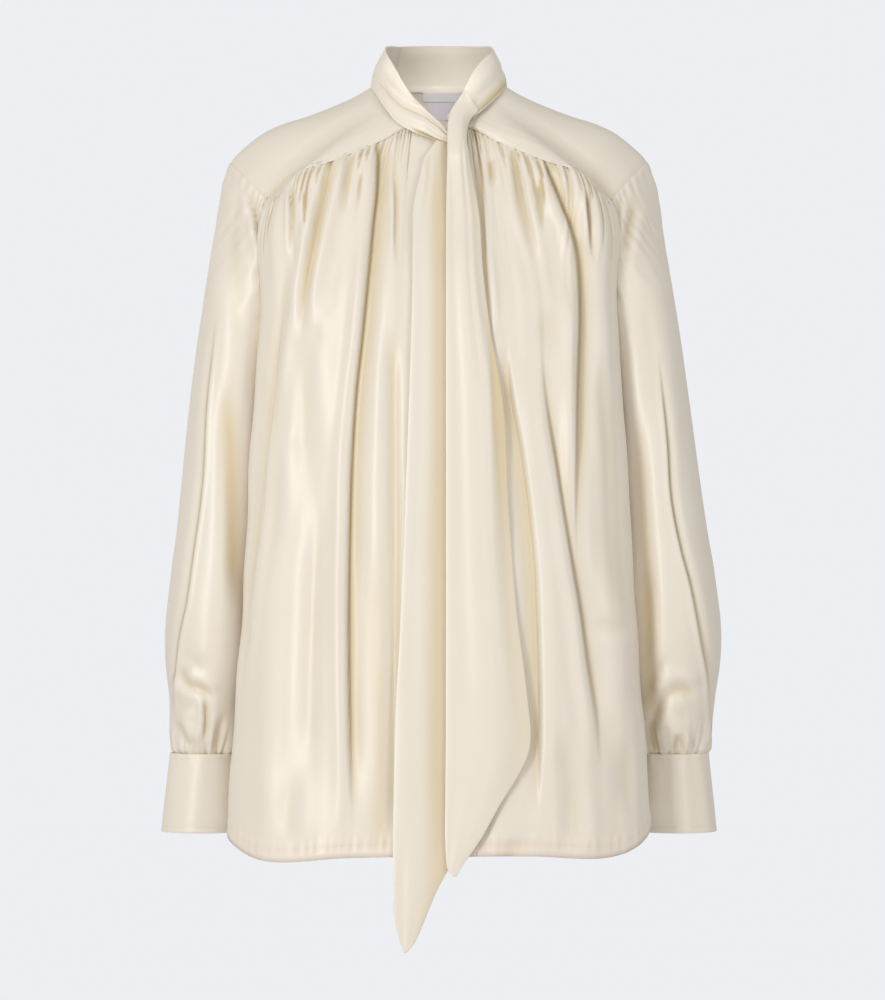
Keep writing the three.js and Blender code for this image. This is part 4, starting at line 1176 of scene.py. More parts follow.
BACK_FOLDS = (
    Fold(((-60, 112), (-68, 260), (-86, 540)), 6.5, 12, 0.4, 60, 130, Wall.LEFT, 0.5, 0.6),
    Fold(((-112, 112), (-130, 250), (-138, 400)), 5.5, 9, 0.4, 50, 130, Wall.RIGHT, 0.4, 0.5),
    Fold(((-14, 112), (-26, 420), (-22, 740)), 5, 15, 0.4, 80, 60, Wall.NONE, 0.3, 0),
    Fold(((40, 112), (45, 260), (52, 440)), 5.5, 10, 0.4, 50, 130, Wall.RIGHT, 0.5, 0.6),
    Fold(((96, 112), (118, 380), (128, 740)), 6, 13, 0.4, 60, 70, Wall.LEFT, 0.5, 0.5),
    Fold(((-118, 440), (-128, 740)), 4.5, 15, 0.4, 130, 40, Wall.NONE, 0.3, 0),
    Fold(((70, 430), (76, 740)), 4, 15, 0.4, 130, 40, Wall.NONE, 0.3, 0),
    Fold(((-58, 520), (-66, 740)), 3.6, 14, 0.4, 120, 40, Wall.NONE, 0.2, 0),
    Fold(((150, 150), (160, 340)), 3, 9, 0.4, 60, 110, Wall.NONE, 0.2, 0),
    Fold(((-90, 108), (-92, 170), (-98, 240)), 3.4, 4, 0.4, 16, 70, Wall.NONE, 0.6, 0.5),
    Fold(((14, 106), (14, 160), (10, 210)), 3.4, 4, 0.4, 16, 70, Wall.NONE, 0.6, 0.5),
    Fold(((68, 106), (74, 180), (78, 280)), 3.4, 4, 0.4, 16, 90, Wall.NONE, 0.6, 0.5),
    Fold(((12, 300), (16, 520), (20, 735)), -2.6, 12, 0.1, 90, 40, Wall.NONE, 0, 0),
    Fold(((-96, 300), (-104, 520)), -2.4, 12, 0.1, 90, 90, Wall.NONE, 0, 0),
)


@dataclass
class BodyPanel:
    """A front or the back: gathered to the yoke, with soft folds down to a narrow hem."""

    name: str
    columns: int
    folds: tuple[Fold, ...]
    gathers: tuple[Gathers, ...]
    seed: int
    cut: Cut
    rows: int = 168
    tuck: float = 3.0
    side_gap: float = 0.0001

    def turns(self, level: Array) -> Array:
        """Turns of each row's columns, for the drop that the row has on average."""
        raise NotImplementedError

    def seam_place(self, turn: Array) -> Array:
        """Place along the gathered seam."""
        raise NotImplementedError

    def under(self, base: Array, drop: Array) -> Array:
        """How far the piece lies under another one."""
        return np.zeros_like(drop)

    def levels(self) -> Array:
        """Shares down the panel, close together under the yoke."""
        share = np.linspace(0, 1, self.rows)
        return 0.42 * share ** 2.1 + 0.58 * share

    def surface(self) -> tuple[Array, Array]:
        """Points and outward directions of the finished panel.

        Returns:
            Both grids, in millimetres.
        """
        levels = self.levels()
        middle = FRONT_TOP + (FRONT_HEM - FRONT_TOP) * levels
        turn = self.turns(middle)
        top = -FORM.top(turn)[..., 2] - self.tuck
        hem = FORM.hem_drop(turn)
        drop = top + (hem - top) * levels[:, None]
        base = FORM.body(turn, drop)
        facing = FORM.body_facing(turn, np.maximum(drop, top + self.tuck + 2))
        below = drop - top - self.tuck
        lift = self.relief(turn, drop, below, hem, base) - self.under(base, drop)
        return base + facing * lift[..., None], facing

    def shades(self, points: Array, facing: Array) -> dict[str, Array]:
        """Where painted golden shade and crease shadow go on the satin, and where the hem is doubled.

        Args:
            points: Its grid of points.
            facing: Outward direction at each point.

        Returns:
            Values from 0 to 1, by the name that the finish reads.
        """
        turn = self.turns(FRONT_TOP + (FRONT_HEM - FRONT_TOP) * self.levels())
        hem = FORM.hem_drop(turn)
        drop = -points[..., 2]
        # Painted golden shade and crease shadow from the folds, and painted shade where the cloth lies deep between its
        # rolls.
        gold_shade, line = press_all(self.folds, points[..., 0], drop)[1:]
        broad = Tailor.hollow_shade(points, facing, (6, 10), 6.0, False)
        fine = Tailor.hollow_shade(points, facing, (2, 3), 1.6, False)
        away = FORM.half(turn)[2]
        at_side = 1 - smooth((away - SIDE_START) / SIDE_SPAN)
        hollow_shade = np.clip(np.maximum(gold_shade * at_side, 0.4 * broad + 0.3 * fine), 0, 1)
        below = drop + FORM.top(turn)[..., 2]
        # Painted shade and crease shadow at the bottoms of the small gathers under the top seam, weaker on the back.
        gather_shade = Tailor.hollow_shade(points, facing, (0, 1), 0.16, False)
        gather_shade = gather_shade * smooth((90 - below) / 60) * smooth((below - 1) / 4)
        gather_shade = gather_shade * (0.55 + 0.45 * Ripples(self.seed + 8, 40).height(self.seam_place(turn), 0.0))
        gather_shade = gather_shade * np.where(FORM.half(turn)[1], 0.45, 1.1)
        hollow_shade = np.maximum(hollow_shade, 0.8 * gather_shade)
        up = hem - drop
        # The crease value also draws a faint line along the top edge of the hem band.
        return {
            "hollow_shade": hollow_shade, "turned": smooth((HEM_WIDTH + 0.4 - up) / 0.8),
            "crease": np.maximum(np.maximum(line * at_side, 0.35 * gather_shade), 0.22 * bell(up - HEM_WIDTH - 0.3, 0.9)),
        }

    def relief(self, turn: Array, drop: Array, below: Array, hem: Array, base: Array) -> Array:
        """Height of the cloth over the smooth body.

        Args:
            turn: Turns round the body.
            drop: Drops below the neck base.
            below: Distances below the top seam.
            hem: Drop of the hem.
            base: Points on the smooth body.

        Returns:
            Heights in millimetres.
        """
        _, behind, away = FORM.half(turn)
        at_side = 1 - smooth((away - SIDE_START) / SIDE_SPAN)
        lane = np.where(behind, 1.0, smooth((np.abs(base[..., 0] - 6) - 34) / 16))
        folds = press_all(self.folds, base[..., 0], drop)[0]
        place = self.seam_place(turn)
        gathers = sum(group.relief(place, below) for group in self.gathers)
        long_wave = Ripples(self.seed, 52, 0.05).height(place, drop)
        short_wave = Ripples(self.seed + 1, 21, 0.03).height(place, drop)
        waves = 0.9 * long_wave * smooth(below / 160)
        waves = waves + 0.35 * short_wave * smooth(below / 60) * (1 - 0.65 * smooth(below / 380))
        cross = 0.5 * Ripples(self.seed + 2, 120, 0.6).height(drop, place)
        seam = -0.6 * (1 - smooth((below + 1) / 4)) + 0.7 * bell(below - 9, 8)
        up = hem - drop
        turned = 0.45 * smooth((HEM_WIDTH - up) / 0.8)
        pucker = 0.4 * bell(up - HEM_WIDTH, 4) * Ripples(self.seed + 3, 9).height(place, drop)
        soft = (folds + waves + cross) * at_side
        soft = np.where(behind, soft, np.where(soft > 0, soft * lane, soft * (0.15 + 0.85 * lane)))
        fade = smooth(below / 22)
        gathers = np.where(below < 0, np.minimum(gathers, 0), gathers)
        last = smooth((place - FRONT_SEAM_LENGTH + 30) / 14) * np.where(behind, 0.0, 1.0)
        tight = np.sin(2 * math.pi * place / 4.2 + 1.5 * np.sin(place / 5)) * bell(below - 4, 6)
        fine = 0.35 * Ripples(self.seed + 5, 3.4, 0.15).height(place, below) * bell(below - 3, 5)
        gathers = gathers + 0.9 * last * tight + fine
        return soft * (0.5 + 0.5 * fade) + gathers * (0.4 + 0.6 * at_side) + seam + turned + pucker

    def build(self, room: Workroom) -> bpy.types.Object:
        """Make the panel and dress it.

        Args:
            room: Gives the finish and the last steps.

        Returns:
            The dressed piece.
        """
        points, facing = self.surface()
        piece = Tailor.sheet(f"{self.name}_satin", points, facing, self.shades(points, facing))
        Tailor.thicken(piece, CLOTH)
        room.dress(piece, self.name, room.satin)
        return piece

    def hem_line(self, up: float, step: int = 1) -> tuple[Array, Array]:
        """A line on the finished panel at a height above the hem.

        Args:
            up: Height above the hem.
            step: Columns from point to point.

        Returns:
            Its points and outward directions.
        """
        points, facing = self.surface()
        length = points[-1, :, 2]
        line, out = [], []
        for column in range(0, points.shape[1], step):
            row = int(np.argmin(np.abs(points[:, column, 2] - length[column] - up)))
            high = min(max(row, 1), points.shape[0] - 2)
            z = length[column] + up
            column_z = points[high - 1:high + 2, column, 2]
            order = np.argsort(column_z)
            near = points[high - 1:high + 2, column][order]
            line.append([np.interp(z, column_z[order], near[:, k]) for k in range(3)])
            out.append(facing[row, column])
        return np.array(line), np.array(out)


@dataclass
class FrontPanel(BodyPanel):
    """One front, with its centre edge under the ties."""

    side: Side = Side.LEFT

    def turns(self, level: Array) -> Array:
        """Turns of each row's columns.

        Args:
            level: Average drop of each row.

        Returns:
            One turn for each place in the grid.
        """
        lap = LAPS[self.side]
        near = FRONT_NECK_END / 2
        at = FORM.body(np.full_like(level, near), level)[..., 0]
        edge = self.side.value * lap.x(level) * near / at
        share = np.linspace(0, 1, self.columns)
        away = edge[:, None] + (1 - self.side_gap - edge[:, None]) * share[None, :]
        return self.side.value * away

    def seam_place(self, turn: Array) -> Array:
        """Millimetres along the seam from the neck."""
        away = np.abs(turn)
        return FRONT_SEAM_LENGTH * (away - FRONT_NECK_END) / (FRONT_SEAM_END - FRONT_NECK_END)

    def under(self, base: Array, drop: Array) -> Array:
        """How far the left front lies under the right one."""
        over_edge = LAPS[Side.RIGHT].x(drop) + 5
        return LAPS[self.side].under * (1 - smooth((base[..., 0] - over_edge) / 34))


@dataclass
class BackPanel(BodyPanel):
    """The back, in one piece."""

    def turns(self, level: Array) -> Array:
        """Turns of each row's columns."""
        row = np.linspace(1 + self.side_gap, 3 - self.side_gap, self.columns)
        return np.repeat(row[None, :], len(level), axis=0)

    def seam_place(self, turn: Array) -> Array:
        """Millimetres along the seam from its left end."""
        return BACK_SEAM_LENGTH * (1 + (turn - 2) / BACK_SEAM_END)


@dataclass
class Yoke:
    """The yoke, cut across the back and over both shoulders."""

    cut: Cut
    columns: int = 356
    rows: int = 42

    def build(self, room: Workroom) -> bpy.types.Object:
        """Make the yoke and dress it.

        Args:
            room: Gives the finish and the last steps.

        Returns:
            The dressed piece.
        """
        along = np.linspace(0.004, 1.996, self.columns)[None, :]
        across = np.linspace(0, 1, self.rows)[:, None]
        along, across = np.broadcast_arrays(along, 0.002 + 0.998 * across ** 0.8)
        length = FORM.yoke(along, np.ones_like(along)) - FORM.yoke(along, np.zeros_like(along))
        length = np.linalg.norm(length, axis=-1)
        facing = FORM.yoke_facing(along, across)
        at = np.where(along > 1, 2 - along, along)
        to_seam = (1 - across) * length
        place = np.where(at < YOKE_FRONT_JOINT, FRONT_SEAM_LENGTH * at / YOKE_FRONT_JOINT,
                         BACK_SEAM_LENGTH * (1 - at) / (1 - YOKE_BACK_JOINT))
        on_seam = smooth((YOKE_FRONT_JOINT - at) / 0.02 + 0.5) + smooth((at - YOKE_BACK_JOINT) / 0.02 + 0.5)
        pull = (0.45 * Ripples(31, 6.5).height(place, to_seam) * bell(to_seam, 7)
                + 0.4 * Ripples(34, 3.6, 0.2).height(place, to_seam) * bell(to_seam - 1, 4)) * on_seam
        drape = Ripples(32, 0.34).height(along, across) * np.sin(math.pi * across)
        ridge = 0.4 * bell(to_seam - 2.2, 2.2) * on_seam
        soft = Ripples(33, 30, 0.4).height(to_seam, 90 * along)
        edge = -(0.5 + 0.8 * (1 - on_seam)) * (1 - smooth(to_seam / (1.4 + 3 * (1 - on_seam))))
        sink = 0.5 * on_seam * (1 - smooth(to_seam / 12))
        lift = pull + 0.6 * drape + ridge + 0.1 * soft * np.sin(math.pi * across) + edge + 0.15 - sink
        base = FORM.yoke(along, across)
        once = Tailor.blurred(base, (1, 10), False)
        even = 2 * once - Tailor.blurred(once, (1, 10), False)
        inside = (smooth(across / 0.3) * smooth((1 - across) / 0.3) * smooth(along / 0.1) * smooth((2 - along) / 0.1))
        points = base + (even - base) * inside[..., None] + facing * lift[..., None]
        # Painted shade where the yoke lies deep between its small rolls.
        shades = {"hollow_shade": 0.35 * Tailor.hollow_shade(points, facing, (3, 6), 1.8, False)}
        piece = Tailor.sheet("yoke_satin", points, facing, shades)
        Tailor.thicken(piece, CLOTH, 0.35)
        room.dress(piece, "yoke", room.satin)
        return piece


SLEEVE_FRONT_FOLDS = {
    Side.LEFT: (
        Fold(((212, 250), (220, 335), (223, 384), (232, 432), (242, 470), (253, 528), (260, 566), (263, 634)),
             2.4, 3.4, 0.5, 90, 20, Wall.LEFT, 0.4, 0.9),
        Fold(((194, 430), (200, 520), (204, 606)), 3.0, 8, 0.3, 60, 30, Wall.NONE, 1.0, 0),
        Fold(((181, 84), (174, 104), (169, 136), (167, 160)), 3.0, 5, 0.5, 20, 30, Wall.RIGHT, 0.5, 0.3),
        Fold(((190, 100), (182, 135), (176, 180)), 2.4, 5, 0.5, 20, 60, Wall.NONE, 0.5, 0.2),
        Fold(((196, 170), (205, 260), (208, 330)), 2.2, 10, 0.4, 70, 80, Wall.NONE, 0.25, 0),
        Fold(((188, 300), (196, 430), (204, 540)), 3.0, 9, 0.4, 80, 80, Wall.NONE, 0.5, 0),
        Fold(((206, 604), (214, 582), (230, 570), (250, 576)), 3.0, 6.5, 0.6, 15, 15, Wall.NONE, 0.5, 0.1),
        Fold(((226, 634), (231, 618), (238, 634)), 2.6, 4, 0.5, 8, 8, Wall.NONE, 0.4, 0.5),
        Fold(((247, 634), (244, 612)), 2.4, 3.6, 0.5, 12, 14, Wall.NONE, 0.4, 0.4),
        Fold(((206, 560), (214, 544), (226, 538)), 2.2, 7, 0.5, 20, 25, Wall.NONE, 0.3, 0),
        Fold(((209, 634), (205, 612), (208, 588)), 3.0, 5, 0.5, 12, 20, Wall.NONE, 0.7, 0.3),
        Fold(((218, 612), (234, 596)), -2.8, 10, 0.1, 12, 12, Wall.NONE, 0, 0),
    ),
    Side.RIGHT: (
        Fold(((214, 210), (223, 291), (227, 369), (237.4, 446), (243, 486), (251, 524), (254.4, 563), (257.7, 598)),
             1.8, 3.0, 0.5, 90, 20, Wall.LEFT, 0.15, 0.7),
        Fold(((186, 90), (178, 112), (170, 146), (167, 165)), 3.6, 6, 0.5, 14, 20, Wall.RIGHT, 1.0, 0.5),
        Fold(((180, 86), (172, 98)), 2.0, 3.6, 0.5, 10, 20, Wall.NONE, 0.5, 0.5),
        Fold(((200, 110), (196, 180), (190, 260)), 2.2, 10, 0.4, 40, 80, Wall.NONE, 0.3, 0),
        Fold(((204, 260), (198, 380), (193, 500)), 3.4, 10, 0.3, 80, 60, Wall.NONE, 1.0, 0),
        Fold(((249, 546), (243, 564), (229, 570), (214, 580)), 3.4, 5, 0.6, 14, 15, Wall.NONE, 0.4, 0.2),
        Fold(((226, 578), (225, 600), (227, 622)), 3.4, 4, 0.5, 12, 14, Wall.RIGHT, 0.5, 0.3),
        Fold(((254, 600), (245, 616), (234, 630)), 3.0, 5, 0.5, 12, 12, Wall.NONE, 0.4, 0.2),
        Fold(((216, 634), (213, 612), (208, 590)), 2.6, 4.4, 0.5, 12, 20, Wall.NONE, 0.5, 0.2),
        Fold(((222, 552), (236, 544), (246, 526)), 2.0, 8, 0.5, 20, 25, Wall.NONE, 0.3, 0),
        Fold(((236, 600), (244, 588)), -2.6, 9, 0.1, 12, 12, Wall.NONE, 0, 0),
    ),
}
SLEEVE_ROUND_FOLDS = (
    Fold(((20, 470), (22, 610)), 3.6, 10, 0.4, 60, 30),
    Fold(((75, 240), (70, 400), (78, 590)), 4.0, 12, 0.4, 70, 30),
    Fold(((120, 290), (128, 600)), 3.5, 12, 0.4, 70, 30),
    Fold(((48, 130), (54, 300)), 2.4, 11, 0.4, 60, 80),
    Fold(((100, 500), (92, 560), (76, 600)), 2.6, 9, 0.4, 30, 20),
    Fold(((50, 560), (44, 630)), 3.0, 6, 0.4, 30, 10),
    Fold(((140, 580), (148, 630)), 3.0, 6, 0.4, 30, 10),
)


@dataclass
class Sleeve:
    """A long sleeve with a dropped armhole seam, gathered into its cuff."""

    side: Side
    cut: Cut
    reach: float
    seed: int
    columns: int = 172
    rows: int = 174
    pleats: int = 22
    tuck: tuple[float, ...] = (5.0, 2.5)

    def build(self, room: Workroom) -> bpy.types.Object:
        """Make the sleeve and dress it.

        Args:
            room: Gives the finish and the last steps.

        Returns:
            The dressed piece.
        """
        part = np.linspace(0, 1, self.columns)
        turn = (360 * part - 28 * np.cos(2 * math.pi * part))[None, :]
        share = np.linspace(0, 1, self.rows)
        share = (share - 0.05 * np.sin(2 * math.pi * share) / math.pi)[:, None]
        turn, share = np.broadcast_arrays(turn, share)
        base = FORM.sleeve(turn, share)
        facing = FORM.sleeve_facing(turn, np.maximum(share, 0.008))
        drop = -base[..., 2]
        fuller = self.reach * bell(drop - 500, 150) * smooth((1 + np.cos(np.radians(turn))) / 2)
        below = drop + FORM.armhole(turn)[..., 2]
        to_seam = (FORM.armhole(turn[0]) - base[0]) * 0.8
        base = base + stack(fuller, 0.0, 0.0) + to_seam[None] * (1 - smooth(below / 10))[..., None]
        lift, gold_shade, line = self.relief(turn, base, below)
        points = base + facing * lift[..., None]
        inward = unit(stack(-1.0, 0.0, 0.0) - 0.35 * facing[0])
        extra = np.stack([points[0] + inward * size - facing[0] * 0.3 for size in self.tuck])
        inside = np.stack([points[-1] - facing[-1] * 0.3 * size - stack(0.0 * turn[0], 0.0, size)
                           for size in (2.5, 5.0)])
        points = np.concatenate([extra, points, inside])
        facing, gold_shade, line = (np.concatenate([np.repeat(grid[:1], len(self.tuck), axis=0), grid,
                                              np.repeat(grid[-1:], 2, axis=0)]) for grid in (facing, gold_shade, line))
        points = FORM.mirrored(points, float(self.side.value))
        facing = FORM.mirrored(facing, float(self.side.value))
        points[:, -1], facing[:, -1] = points[:, 0], facing[:, 0]
        # Painted golden shade from the folds and where the cloth lies deep between its rolls, and painted crease
        # shadow.
        fine = Tailor.hollow_shade(points, facing, (3, 3), 1.3, True)
        broad = Tailor.hollow_shade(points, facing, (7, 8), 4.0, True)
        shades = {"hollow_shade": np.clip(np.maximum(gold_shade, 0.35 * fine + 0.45 * broad), 0, 1), "crease": line}
        piece = Tailor.sheet(f"sleeve_{self.side.word}_satin", points, facing, shades, wrap=True)
        Tailor.thicken(piece, CLOTH)
        room.dress(piece, f"sleeve_{self.side.word}", room.satin)
        return piece

    def relief(self, turn: Array, base: Array, below: Array) -> tuple[Array, Array, Array]:
        """Height of the cloth over the smooth sleeve, and its painted golden shade and painted crease shadow.

        Args:
            turn: Degrees round the sleeve.
            base: Points on the smooth sleeve.
            below: Distances below the armhole seam.

        Returns:
            The three values for each point.
        """
        drop = -base[..., 2]
        ahead = smooth((ARM_Y + 6 - base[..., 1]) / 24)
        folds, gold_shade, line = press_all(SLEEVE_FRONT_FOLDS[self.side], base[..., 0], drop)
        folds, gold_shade, line = folds * ahead, gold_shade * ahead, line * ahead
        for around in (-360, 0):
            lift, warm_shade, dark_shade = press_all(SLEEVE_ROUND_FOLDS, turn + around, drop)
            folds, gold_shade, line = folds + lift, np.maximum(gold_shade, 0.5 * warm_shade), np.maximum(line, 0.3 * dark_shade)
        angle = np.radians(turn)
        draw = np.random.default_rng(self.seed)
        waves = 0.0
        for count in (3, 4, 5, 7):
            lean, phase = draw.uniform(-0.006, 0.006), draw.uniform(0, 2 * math.pi)
            waves = waves + np.sin(count * angle + lean * drop + phase) / 2
        waves = 0.65 * waves * (0.5 + 0.4 * np.sin(drop / 95 + self.seed))
        pleats = 0.0
        for count, size in ((self.pleats, 0.7), (self.pleats * 2 - 5, 0.4), (11, 0.9)):
            phase = draw.uniform(0, 2 * math.pi)
            pleats = pleats + size * np.sin(count * angle + phase + 0.9 * np.sin(3 * angle))
        to_cuff = SLEEVE_END - drop
        gathered = 1.1 * pleats * bell(to_cuff, 26) * smooth(to_cuff / 5 + 0.3)
        blouse = 2.4 * bell(to_cuff - 24, 22) * (1 + 0.5 * np.sin(5 * angle + self.seed))
        tuck_top = -0.6 * (1 - smooth((below + 0.5) / 4))
        tuck_end = -2.6 * (1 - smooth((to_cuff - 1.5) / 3.5))
        over = smooth((np.cos(angle) + 0.2) / 0.5)
        head = 0.5 * np.sin(37 * angle + 2 * np.sin(5 * angle)) * bell(below - 5, 7) * over
        crumple = 0.5 * Ripples(self.seed + 60, 17, 0.8).height(turn * 0.9, drop) * bell(below - 30, 40)
        near_seam = smooth(below / 30)
        soft = (folds + 1.0 * waves) * near_seam * smooth((to_cuff + 2) / 10)
        height = soft + gathered + blouse + tuck_top + tuck_end + head + crumple * smooth(below / 8)
        return height, gold_shade * near_seam, line * near_seam


@dataclass
class Cuff:
    """A deep double cuff that goes round once and laps at the outer back."""

    side: Side
    cut: Cut
    top: float = 633.5
    bottom: float = 710.0
    lap_turn: float = 38.0
    lap: float = 28.0
    columns: int = 150
    rows: int = 36

    def surface(self, turn: Array, drop: Array) -> Array:
        """Points on the left cuff, by degrees round from its under end.

        Args:
            turn: Degrees round from the under end.
            drop: Drops below the neck base.

        Returns:
            One point for each place.
        """
        share = (drop - 634) / 76
        angle = np.radians(self.lap_turn + turn)
        rise = 3.4 * turn / 360 - 1
        half_x = 34 + 4 * share + rise
        half_y = 33 + 2 * share + rise
        return stack(226 + 4 * share + half_x * np.cos(angle), 15 + half_y * np.sin(angle), -drop)

    def facing(self, turn: Array, drop: Array) -> Array:
        """Outward direction of the left cuff."""
        return FORM.facing(self.surface, turn, drop, 3.0, 3.0)

    def build(self, room: Workroom) -> bpy.types.Object:
        """Make the cuff and dress it.

        Args:
            room: Gives the finish and the last steps.

        Returns:
            The dressed piece.
        """
        turn, drop = np.broadcast_arrays(np.linspace(0, 360 + self.lap, self.columns)[None, :],
                                         np.linspace(self.top, self.bottom, self.rows)[:, None])
        facing = self.facing(turn, drop)
        up, down = drop - self.top, self.bottom - drop
        ends = smooth(np.minimum(turn, 360 + self.lap - turn) / 12)
        soft = 0.45 * Ripples(71 + self.side.value, 60, 0.3).height(turn, drop)
        row = -0.3 * bell(down - 6, 0.9) - 0.3 * bell(up - 5, 0.9)
        pull = 0.25 * Ripples(75 + self.side.value, 17).height(turn, drop) * bell(up, 9)
        points = self.surface(turn, drop) + facing * ((soft + pull) * ends + row)[..., None]
        points = FORM.mirrored(points, float(self.side.value))
        facing = FORM.mirrored(facing, float(self.side.value))
        # Painted shade where the cuff lies deep between its small rolls.
        shades = {"hollow_shade": 0.4 * Tailor.hollow_shade(points, facing, (3, 3), 0.8, False)}
        piece = Tailor.sheet(f"cuff_{self.side.word}_satin", points, facing, shades)
        Tailor.thicken(piece, DOUBLE, 0.7)
        room.dress(piece, f"cuff_{self.side.word}", room.satin)
        return piece


@dataclass
class CuffButton:
    """A small four-hole button on the cuff's lap."""

    cuff: Cuff
    radius: float = 5.5
    thick: float = 2.6
    gap: float = 0.3
    drop: float = 672.0
    steps: int = 40

    def build(self, room: Workroom) -> bpy.types.Object:
        """Turn the button, drill its holes and seat it.

        Args:
            room: Gives the finish and the last steps.

        Returns:
            The dressed piece.
        """
        side = float(self.cuff.side.value)
        turn = np.array([360 + self.cuff.lap / 2])
        drop = np.array([self.drop])
        seat = FORM.mirrored(self.cuff.surface(turn, drop), side)[0]
        out = FORM.mirrored(self.cuff.facing(turn, drop), side)[0]
        up = np.array([0.0, 0.0, 1.0])
        across = np.cross(up, out)
        across = across / np.linalg.norm(across)
        rise = np.cross(out, across)
        profile = ((0, 0), (4.6, 0), (5.3, 0.35), (5.5, 0.9), (5.5, 1.6), (5.25, 2.2), (4.7, 2.55), (4.1, 2.5),
                   (3.6, 2.15), (3.0, 1.95), (0, 1.9))
        points, faces = [], []
        for step in range(self.steps):
            angle = 2 * math.pi * step / self.steps
            for r, h in profile[1:-1]:
                points.append((r * math.cos(angle), r * math.sin(angle), h))
        ring = len(profile) - 2
        low, high = len(points), len(points) + 1
        points += [(0, 0, profile[0][1]), (0, 0, profile[-1][1])]
        for step in range(self.steps):
            a, b = step * ring, (step + 1) % self.steps * ring
            faces.append((low, b, a))
            faces.append((high, a + ring - 1, b + ring - 1))
            faces += [(a + k, b + k, b + k + 1, a + k + 1) for k in range(ring - 1)]
        mesh = bpy.data.meshes.new(f"cuff_button_{self.cuff.side.word}_shell")
        mesh.from_pydata(points, [], faces)
        piece = bpy.data.objects.new(mesh.name, mesh)
        bpy.context.scene.collection.objects.link(piece)
        drills = self.drills()
        hole = piece.modifiers.new("holes", "BOOLEAN")
        hole.object = drills
        hole.solver = "EXACT"
        Tailor.settle(piece)
        bpy.data.objects.remove(drills)
        co = np.array([v.co for v in piece.data.vertices])
        base = seat + out * self.gap
        placed = base + co[:, :1] * across + co[:, 1:2] * rise + co[:, 2:] * out
        piece.data.vertices.foreach_set("co", (placed * MM).astype(np.float32).ravel())
        piece.data.update()
        piece.data.polygons.foreach_set("use_smooth", np.ones(len(piece.data.polygons), bool))
        piece.data.set_sharp_from_angle(angle=math.radians(38))
        room.dress(piece, f"cuff_button_{self.cuff.side.word}", room.button)
        return piece

    def drills(self) -> bpy.types.Object:
        """Four thin rods in the places of the holes.

        Returns:
            One object with all four.
        """
        points, faces, sides = [], [], 10
        for x, y in ((1.1, 1.1), (-1.1, 1.1), (-1.1, -1.1), (1.1, -1.1)):
            start = len(points)
            for level in (-1.0, 4.0):
                for k in range(sides):
                    angle = 2 * math.pi * k / sides
                    points.append((x + 0.55 * math.cos(angle), y + 0.55 * math.sin(angle), level))
            faces.append(tuple(start + k for k in reversed(range(sides))))
            faces.append(tuple(start + sides + k for k in range(sides)))
            faces += [(start + k, start + (k + 1) % sides, start + sides + (k + 1) % sides, start + sides + k)
                      for k in range(sides)]
        mesh = bpy.data.meshes.new("drills")
        mesh.from_pydata(points, [], faces)
        drills = bpy.data.objects.new("drills", mesh)
        bpy.context.scene.collection.objects.link(drills)
        return drills


